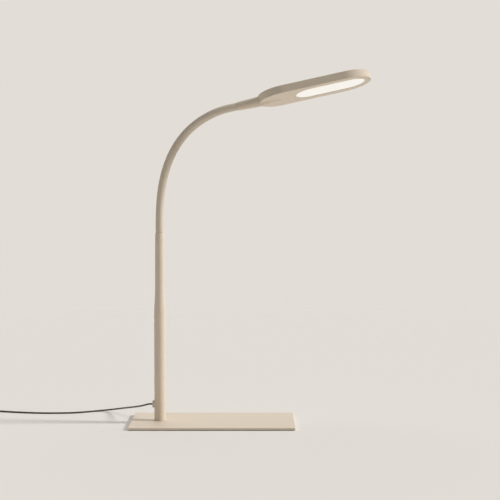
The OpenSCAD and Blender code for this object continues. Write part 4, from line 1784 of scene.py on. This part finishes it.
    def _cover(self) -> BMesh:
        """Make the underside cover with the light window and the fairing.

        Returns:
            The cover.
        """
        clear = self.wall + self.gap
        inset = clear + self.cover_margin
        edge = [Corner(clear, self.cover_thickness), Corner(clear, 0, self.low_edge), Corner(inset, 0)]
        mouth = [
            Corner(-self.cover_margin, 0),
            Corner(0, 0, self.low_edge),
            Corner(0, self.cover_thickness),
        ]
        rings = stations(self.outline, edge)
        for cut in range(1, self.cover_cuts):
            share = cut / self.cover_cuts
            oval = self.outline.towards(self.window, share)
            rings.append(Station(oval, inset - (inset + self.cover_margin) * share, 0.0))
        rings += stations(self.window, mouth)
        rings.append(rings[0])
        cover = bmesh.new()
        sweep_ovals(cover, rings)
        bmesh.ops.remove_doubles(cover, verts=cover.verts, dist=MERGE)
        self._lower(cover)
        return cover

    def _diffuser(self) -> BMesh:
        """Make the opal diffuser; its "glow" attribute falls off at its very edge.

        Returns:
            The diffuser.
        """
        back = self.cover_thickness + self.rim_thickness
        core = self.window_width / 2 - self.diffuser_core
        plate = bmesh.new()
        corners = [
            *(Corner(inset, self.diffuser_depth) for inset in (core, *self.GLOW_INSETS)),
            Corner(self.gap, self.diffuser_depth, self.diffuser_edge),
            Corner(self.gap, self.cover_thickness),
            Corner(-self.diffuser_rim, self.cover_thickness, self.rim_edges[0]),
            Corner(-self.diffuser_rim, back, self.rim_edges[1]),
            Corner(core, back),
        ]
        for ring in sweep_ovals(plate, stations(self.window, corners)):
            capped(plate, ring)
        glow = plate.verts.layers.float.new("glow")
        reach = (self.window_length - self.window_width) / 2
        for vert in plate.verts:
            aside = max(abs(vert.co.x - self.window.centre_x) - reach, 0.0)
            inset = self.window_width / 2 - math.hypot(aside, vert.co.y)
            lit = min(max(inset / self.glow_edge, 0.0), 1.0)
            vert[glow] = self.glow_low + (1 - self.glow_low) * lit * (2 - lit)
        return plate


# ---- pieces inside, and the whole ----


@dataclass
class InnerParts:
    """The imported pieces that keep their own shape: pad, fasteners, leads, clamp, boards and switch."""

    def build(self) -> None:
        """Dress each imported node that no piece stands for."""
        for name, node in sorted(frame["nodes"].items()):
            if node.hide_render:
                continue
            for held in node.material_slots:
                held.material = FINISHES[held.material.name].material()
                LOG.info("%s: dressed in %s", name, held.material.name)


def main() -> None:
    """Build the studio, then the cord, then the lamp from the base up."""
    logging.basicConfig(level=logging.INFO, format="%(name)s: %(message)s")
    for part in (Studio(), SupplyCord(), BasePlate(), Post(), Gooseneck(), Head(), InnerParts()):
        LOG.info("building %s", type(part).__name__)
        part.build()


if __name__ == "__main__":
    main()
